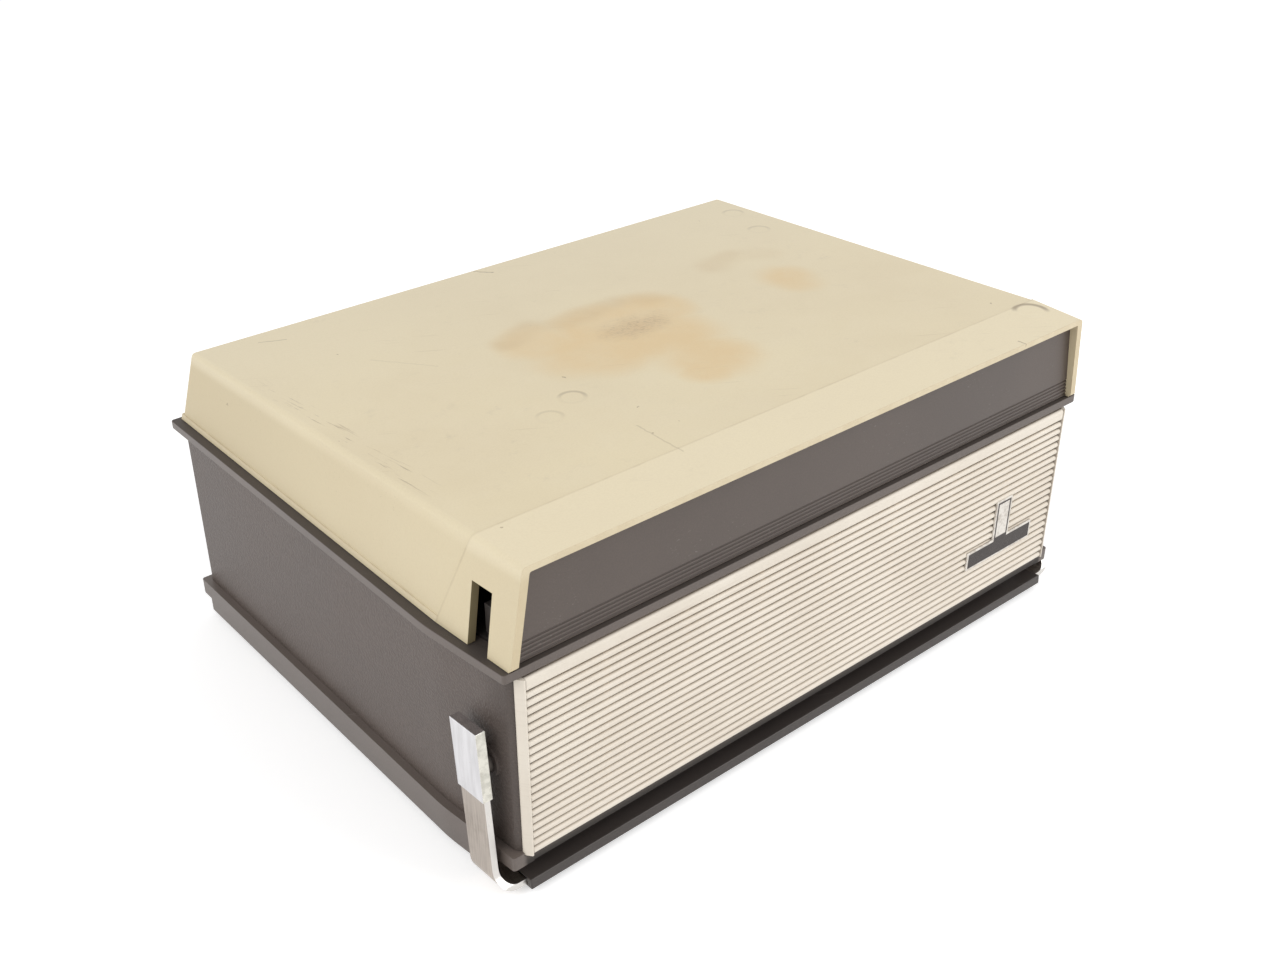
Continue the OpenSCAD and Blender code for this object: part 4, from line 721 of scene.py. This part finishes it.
top = plane((0, lid_rear - rear_lean, rear_top), (-0.1, crest_y, crest_top), (0.1, crest_y, crest_top))
rear = plane((-0.1, lid_rear, lid_foot), (0.1, lid_rear, lid_foot), (0, lid_rear - rear_lean, rear_top))
strip = plane((-0.1, crest_y, crest_top), (0.1, crest_y, crest_top), (0, hood_y, front_top))
front = plane((-0.1, hood_y, front_top), (0.1, hood_y, front_top), (0, cheek_foot, lid_foot))
crease = plane((-0.1, crest_y, crest_top), (0.1, crest_y, crest_top), (0, fold_y, lid_foot))
sides, cheeks = [], []
for s in (-1, 1):
    ridge = (s * (lid_half - side_lean), crest_y, crest_top)
    fold = (s * lid_half, fold_y, lid_foot)
    sides.append(plane(fold, (s * lid_half, 0, lid_foot), ridge))
    cheeks.append(plane(fold, (s * (lid_half - cheek_in), cheek_foot, lid_foot), ridge))
# Every block reaches past the lid's ends, and each a little deeper than the one before it, so
# that no two faces coincide when blocks are cut or joined.
past_front, past_fold, past_side, past_bead, lap = -0.19, -0.05, 0.3, 0.05, 0.0005
ahead = (Vector((0, past_front, 0)), Vector((0, -1, 0)))
behind = (Vector((0, past_fold, 0)), Vector((0, 1, 0)))
foot = (Vector((0, 0, lid_foot)), Vector((0, 0, -1)))
deep = [moved(foot, 0.030 + 0.001 * i) for i in range(6)]

lid = solid("lid_moulding", top, rear, *sides, ahead, deep[0])
rounding(lid, edge_round, 4, 30)
settle(lid)
inner = [moved(face, -wall) for face in (top, rear, *sides)]
hollow = solid("hollow", *inner, ahead, deep[1])
rounding(hollow, inner_round, 4, 30)
settle(hollow)
combine(lid, "DIFFERENCE", hollow, half("before", crease))

outer = [moved(face, hood_proud) for face in (strip, *cheeks)]
hood = solid("hood", *outer, ahead, behind, deep[2])
rounding(hood, edge_round, 4, 30)
settle(hood)
inner = [moved(strip, -wall)] + [moved(face, -wall - cheek_more) for face in cheeks]
hollow = solid("hollow", *inner, ahead, behind, deep[3])
rounding(hollow, hood_inner_round, 3, 30)
settle(hollow)
after = (crease[0] - crease[1] * lap, -crease[1])
combine(hood, "DIFFERENCE", hollow, half("before", front), half("after", after))

bead_top = (Vector((0, 0, lid_foot + bead_high)), Vector((0, 0, 1)))
outer = [moved(face, bead_proud) for face in (rear, *sides)]
bead = solid("bead", *outer, ahead, bead_top, deep[4])
inner = [moved(face, -wall / 2) for face in (rear, *sides)]
hollow = solid("hollow", *inner, ahead, moved(bead_top, past_bead), deep[5])
combine(bead, "DIFFERENCE", hollow, half("before", moved(crease, lap)))
combine(lid, "UNION", bead, hood)

slots = block("slots", (-past_side, slot_y - slot_half, 0.0), (past_side, slot_y + slot_half, slot_top))
slant = (Vector((0, cheek_foot + tip, lid_foot)), Vector((0, -1, -1)).normalized())
combine(lid, "DIFFERENCE", half("below", foot), slots, half("tips", slant))
rounding(lid, rim_round, 2, 40)
even = lid.modifiers.new("even shading", "WEIGHTED_NORMAL")
even.keep_sharp = True
for face in lid.data.polygons:
    face.use_smooth = True


def spot(place, x, y, wide, deep):
    """Distance from a spot's middle, 1 at its edge."""
    gap = place.vector("SUBTRACT", place, (x, y, 0)).stretch(1 / wide, 1 / deep, 0)
    return gap.vector("LENGTH", gap, out=1)


def streak(place, start, end, wide):
    """A soft line from start to end, 1 on it and 0 beyond its width."""
    (x0, y0), (x1, y1) = start, end
    reach = math.hypot(x1 - x0, y1 - y0)
    ux, uy = (x1 - x0) / reach, (y1 - y0) / reach
    x, y = place.axis(0) - x0, place.axis(1) - y0
    run = (x * ux + y * uy).most(0.0).least(reach)
    x, y = x - run * ux, y - run * uy
    return (x * x + y * y).root().ramp(wide, wide * 0.2)


aged_cream, where = finish("aged_cream")
across, along, up = where.axes()
flat = where.stretch(1, 1, 0)
side_rise = -side_lean / (crest_top - lid_foot)
top_rise = (rear_top - crest_top) / (lid_rear - rear_lean - crest_y)
side_gap = (up - lid_foot) * side_rise - across.size() + lid_half
top_gap = (along - crest_y) * top_rise - up + crest_top
ridge = side_gap.ramp(0.003, 0.001) * top_gap.ramp(0.003, 0.001)
on_top = side_gap.ramp(0.002, 0.005) * top_gap.ramp(0.004, 0.002)
ahead_by = (along - crest_y) * crease[1].y + (up - crest_top) * crease[1].z
hood_part = ahead_by.ramp(-0.0002, 0.0002)

# Yellowed colour: cloudy and greyer towards the rear. The hood's top is paler, partly its own
# tone and partly painted light; the sides carry painted shade, the ridges and bead painted highlights.
age, cloud, speck = where.noise(6, 4, 0.55), where.noise(42, 5, 0.6), where.noise(1100, 2)
cream = age.ramp(0.3, 0.7).mix(paint(227, 213, 179), paint(221, 206, 173))
cream = (along.ramp(-0.02, 0.14) * 0.4).mix(cream, paint(220, 208, 180))
# Paler on the hood's top strip: partly its own tone, partly painted light for its forward tilt.
cream = (hood_part * top_gap.ramp(0.009, 0.006) * 0.8).mix(cream, paint(232, 219, 188))
cream = (cloud.ramp(0.35, 0.7) * 0.3).mix(cream, paint(228, 215, 186))
# Painted shade on the sides below the top, deeper towards the rear.
below = top_gap.ramp(0.003, 0.008) * (0.3 + along.ramp(-0.09, 0.12) * 0.55)
cream = below.mix(cream, paint(206, 190, 154))
# A painted highlight along the ridges.
cream = (ridge * 0.5).mix(cream, paint(234, 221, 189))
# A painted highlight on the bead's face.
bead_highlight = up.ramp(lid_foot + bead_high + 0.0002, lid_foot + bead_high - 0.0002) * (1.0 - hood_part)
cream = (bead_highlight * 0.6).mix(cream, paint(233, 218, 186))
smudge = where.noise(95, 6, 0.7).ramp(0.55, 0.8) * on_top * where.noise(14, 2).ramp(0.4, 0.65)
cream = (smudge * 0.3).mix(cream, paint(182, 170, 148))

# Heat stains on the top: a wide orange cloud with a browner rear edge and a finely wrinkled
# heart, and a smaller cloud to its right with a faint arc behind it.
wavy = flat.warp(26, 0.016)
orange = spot(wavy, 0.110, -0.003, 0.019, 0.023).ramp(1.2, 0.3)
for x, y, wide, long in ((-0.046, 0.018, 0.024, 0.026),
                         (-0.006, 0.016, 0.036, 0.027),
                         (0.026, 0.014, 0.024, 0.026),
                         (-0.030, -0.010, 0.040, 0.030),
                         (0.004, -0.016, 0.036, 0.034),
                         (0.004, -0.050, 0.028, 0.030),
                         (-0.008, -0.062, 0.017, 0.017)):
    orange = orange.most(spot(wavy, x, y, wide, long).ramp(1.15, 0.5))
orange = orange * (0.62 + where.noise(30, 4, 0.6).ramp(0.3, 0.65) * 0.38) * on_top
brown = any_of([streak(wavy, start, end, wide) * part for start, end, wide, part in (
    ((-0.060, 0.030), (-0.036, 0.038), 0.012, 1.0),
    ((-0.036, 0.038), (-0.022, 0.030), 0.010, 0.9),
    ((-0.022, 0.030), (-0.002, 0.034), 0.012, 1.0),
    ((-0.002, 0.034), (0.018, 0.036), 0.012, 0.9),
    ((0.018, 0.036), (0.038, 0.026), 0.012, 0.6),
    ((0.092, 0.040), (0.112, 0.045), 0.014, 0.7),
    ((0.112, 0.045), (0.130, 0.034), 0.014, 0.5))])
brown = brown * on_top * (0.6 + where.noise(45, 3).ramp(0.35, 0.65) * 0.4)
heart = spot(flat.warp(60, 0.02), 0.004, 0.002, 0.024, 0.013).ramp(1.25, 0.3) * on_top
cream = (orange * 0.95).mix(cream, paint(223, 197, 152))
cream = (brown * 0.45).mix(cream, paint(203, 178, 137))
cream = (heart * 0.5).mix(cream, paint(203, 180, 148))
wrinkle = where.warp(80, 0.006).turn(40).stretch(420, 1500, 1).noise(1, 3, 0.6)
cream = (heart * wrinkle.ramp(0.52, 0.62) * 0.4).mix(cream, paint(150, 134, 116))

# Round press marks, dark on their far side, and the deep one at the right end of the hood.
rings, marks = [], []
for x, y, size, part in ((-0.0738, -0.0428, 0.0062, 0.5),
                         (-0.0942, -0.0524, 0.006, 0.22),
                         (0.1674, 0.1013, 0.0062, 0.3),
                         (0.1567, 0.0676, 0.0062, 0.3),
                         (0.1655, -0.1235, 0.0085, 1.0)):
    ring = (spot(flat, x, y, size, size) - 1.0).size().ramp(0.26, 0.04) * part
    far = ((across - x) * 0.65 + (along - y) * 0.76).ramp(-0.002, 0.004) * 0.8 + 0.2 * (1.0 - part)
    rings.append(ring)
    marks.append(ring * far)

# Scuffs by the left ridge, single scratches and hairlines; painted shade in the fold, above the bead and
# along the foot.
scratch_wide, scuff_in = 0.0007, 0.008
for start, end, part in (((-0.0713, -0.086), (-0.073, -0.118), 0.3),
                         ((-0.011, 0.1275), (-0.004, 0.119), 0.75),
                         ((-0.120, 0.060), (-0.100, 0.030), 0.15),
                         ((0.1304, -0.1415), (0.1308, -0.1458), 0.7),
                         ((-0.150, 0.118), (-0.138, 0.112), 0.45)):
    marks.append(streak(flat.warp(200, 0.002), start, end, scratch_wide) * part)
scuff = where.turn(-4).stretch(900, 42, 1).noise(1, 3, 0.6).ramp(0.58, 0.68)
scuff = scuff * (side_gap - scuff_in).size().ramp(scuff_in, 0.002)
scuff = scuff * along.ramp(0.085, 0.045) * along.ramp(-0.085, -0.055) * across.ramp(0.0, -0.01)
marks.append(scuff * 0.6)
rings, dark = any_of(rings), any_of(marks) * on_top
hair = where.turn(33).stretch(22, 800, 800).noise(1, 2).ramp(0.67, 0.74)
hair = hair * where.noise(25, 2).ramp(0.45, 0.65)
fold = ahead_by.size().ramp(0.0009, 0.0001) * (0.35 + where.noise(70, 3).ramp(0.4, 0.7) * 0.4)
# Painted shade: a dark line above the bead, along the foot and in the fold.
crease_shade = (up - lid_foot - bead_high).size().ramp(0.0010, 0.0001) * (1.0 - hood_part) * 0.45
crease_shade = crease_shade + up.ramp(lid_foot + 0.0012, lid_foot + 0.0001) * 0.3
crease_shade = crease_shade * where.noise(60, 4, 0.6).ramp(0.25, 0.7) + fold * 0.5
chip = where.warp(300, 0.003).noise(150, 2).ramp(0.775, 0.79)
cream = (dark * 0.8).mix(cream, paint(122, 104, 84))
cream = (hair * 0.16).mix(cream, paint(150, 130, 104))
cream = (crease_shade.least(1.0) * 0.6).mix(cream, paint(146, 124, 94))
cream = (chip * 0.5).mix(cream, paint(140, 118, 92))
cream = (speck.ramp(0.35, 0.7) * 0.06).mix(cream, paint(176, 156, 124))
# Painted shade on the slot's inner walls, in an olive tone.
slot_shade = (along - slot_y).size().ramp(slot_half + 0.0002, slot_half)
slot_shade = slot_shade * up.ramp(slot_top + 0.0002, slot_top) * hood_part
cream = (slot_shade * 0.8).mix(cream, paint(120, 106, 72))
# Painted shade on the hood's front edge.
front_edge_shade = ((along - hood_y) * -front[1].y + (up - front_top) * -front[1].z).ramp(0.0007, 0.0001)
cream = (front_edge_shade * (0.24 + where.noise(120, 3).ramp(0.35, 0.6) * 0.16)).mix(cream, paint(194, 174, 138))
relief = cloud * 0.5 + speck * 0.1 + heart * wrinkle * 2.0 + rings * 0.8 - dark * 1.5 - hair * 0.3 - chip
shine = 0.40 + (cloud - 0.5) * 0.14 + orange * 0.06 + heart * 0.2 + hair * 0.08
dress(aged_cream, {"Base Color": cream, "Specular IOR Level": 0.42, "Roughness": shine}, relief, 0.00008)
lid.data.materials.clear()
lid.data.materials.append(aged_cream)
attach(lid, "lid")
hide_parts("lid_shell")

# The dark panel closes the front of the lid under the hood. It is one brown moulding, held
# between the cheeks, with fine grooves along its foot that carry painted shade.
panel_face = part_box("lid_panel")[0][1]


def groove_soil(where):
    """Painted shade in the grooves, behind the panel's face."""
    return where.axis(1).ramp(panel_face + 0.0001, panel_face + 0.0004) * 0.32


coat(plastic("panel_brown", paint(88, 78, 72), rough=0.4, darkening=groove_soil), "lid_panel", edge=0.0002)


# The machine stands on a plain white floor under a wide soft light, as in a studio tent.
# The floor keeps the soft shadow; to the eye and in bright metal it is white.
def to_the_eye(place):
    """1 for what the camera sees straight, in bright metal or through the window, else 0."""
    kinds = "Is Camera Ray", "Is Glossy Ray", "Is Transmission Ray"
    return any_of([place.node("LightPath", out=kind) for kind in kinds])


floor_half, lamp_aim = 8, Vector((0, 0, 0.08))
white, where = finish("white_floor")
glow = to_the_eye(where).mix((0, 0, 0, 1), (1, 1, 1, 1))
colour = where.noise(3, 2).mix((0.86, 0.86, 0.86, 1), (0.9, 0.9, 0.9, 1))
dress(white, {"Base Color": colour, "Roughness": 0.9, "Specular IOR Level": 0.0,
              "Emission Color": glow, "Emission Strength": 0.42})
floor = bpy.data.objects.new("floor", bpy.data.meshes.new("floor"))
floor.data.from_pydata([(-floor_half, -floor_half, 0), (floor_half, -floor_half, 0),
                        (floor_half, floor_half, 0), (-floor_half, floor_half, 0)], [], [(0, 1, 2, 3)])
floor.data.materials.append(white)
bpy.context.scene.collection.objects.link(floor)

world = bpy.data.worlds.new("studio")
bpy.context.scene.world = world
world.use_nodes = True
tree = world.node_tree
tree.nodes.clear()
tent = Field(tree)
dim = tent.node("Background", None, {"Color": (1, 1, 1, 1), "Strength": 0.6})
bright = tent.node("Background", None, {"Color": (1, 1, 1, 1), "Strength": 1.0})
both = tent.node("MixShader", None, {0: to_the_eye(tent), 1: dim, 2: bright})
tent.node("OutputWorld", None, {"Surface": both})

for name, place, size, power in (("left", (-1.8, -0.2, 1.4), 1.6, 17.0),
                                 ("front", (1.2, -1.7, 1.3), 1.6, 23.8)):
    lamp = bpy.data.objects.new(name, bpy.data.lights.new(name, "AREA"))
    lamp.data.energy = power
    lamp.data.size = size
    lamp.location = place
    lamp.rotation_euler = (lamp_aim - Vector(place)).to_track_quat("-Z", "Y").to_euler()
    bpy.context.scene.collection.objects.link(lamp)
bpy.context.scene.view_settings.view_transform = "Standard"
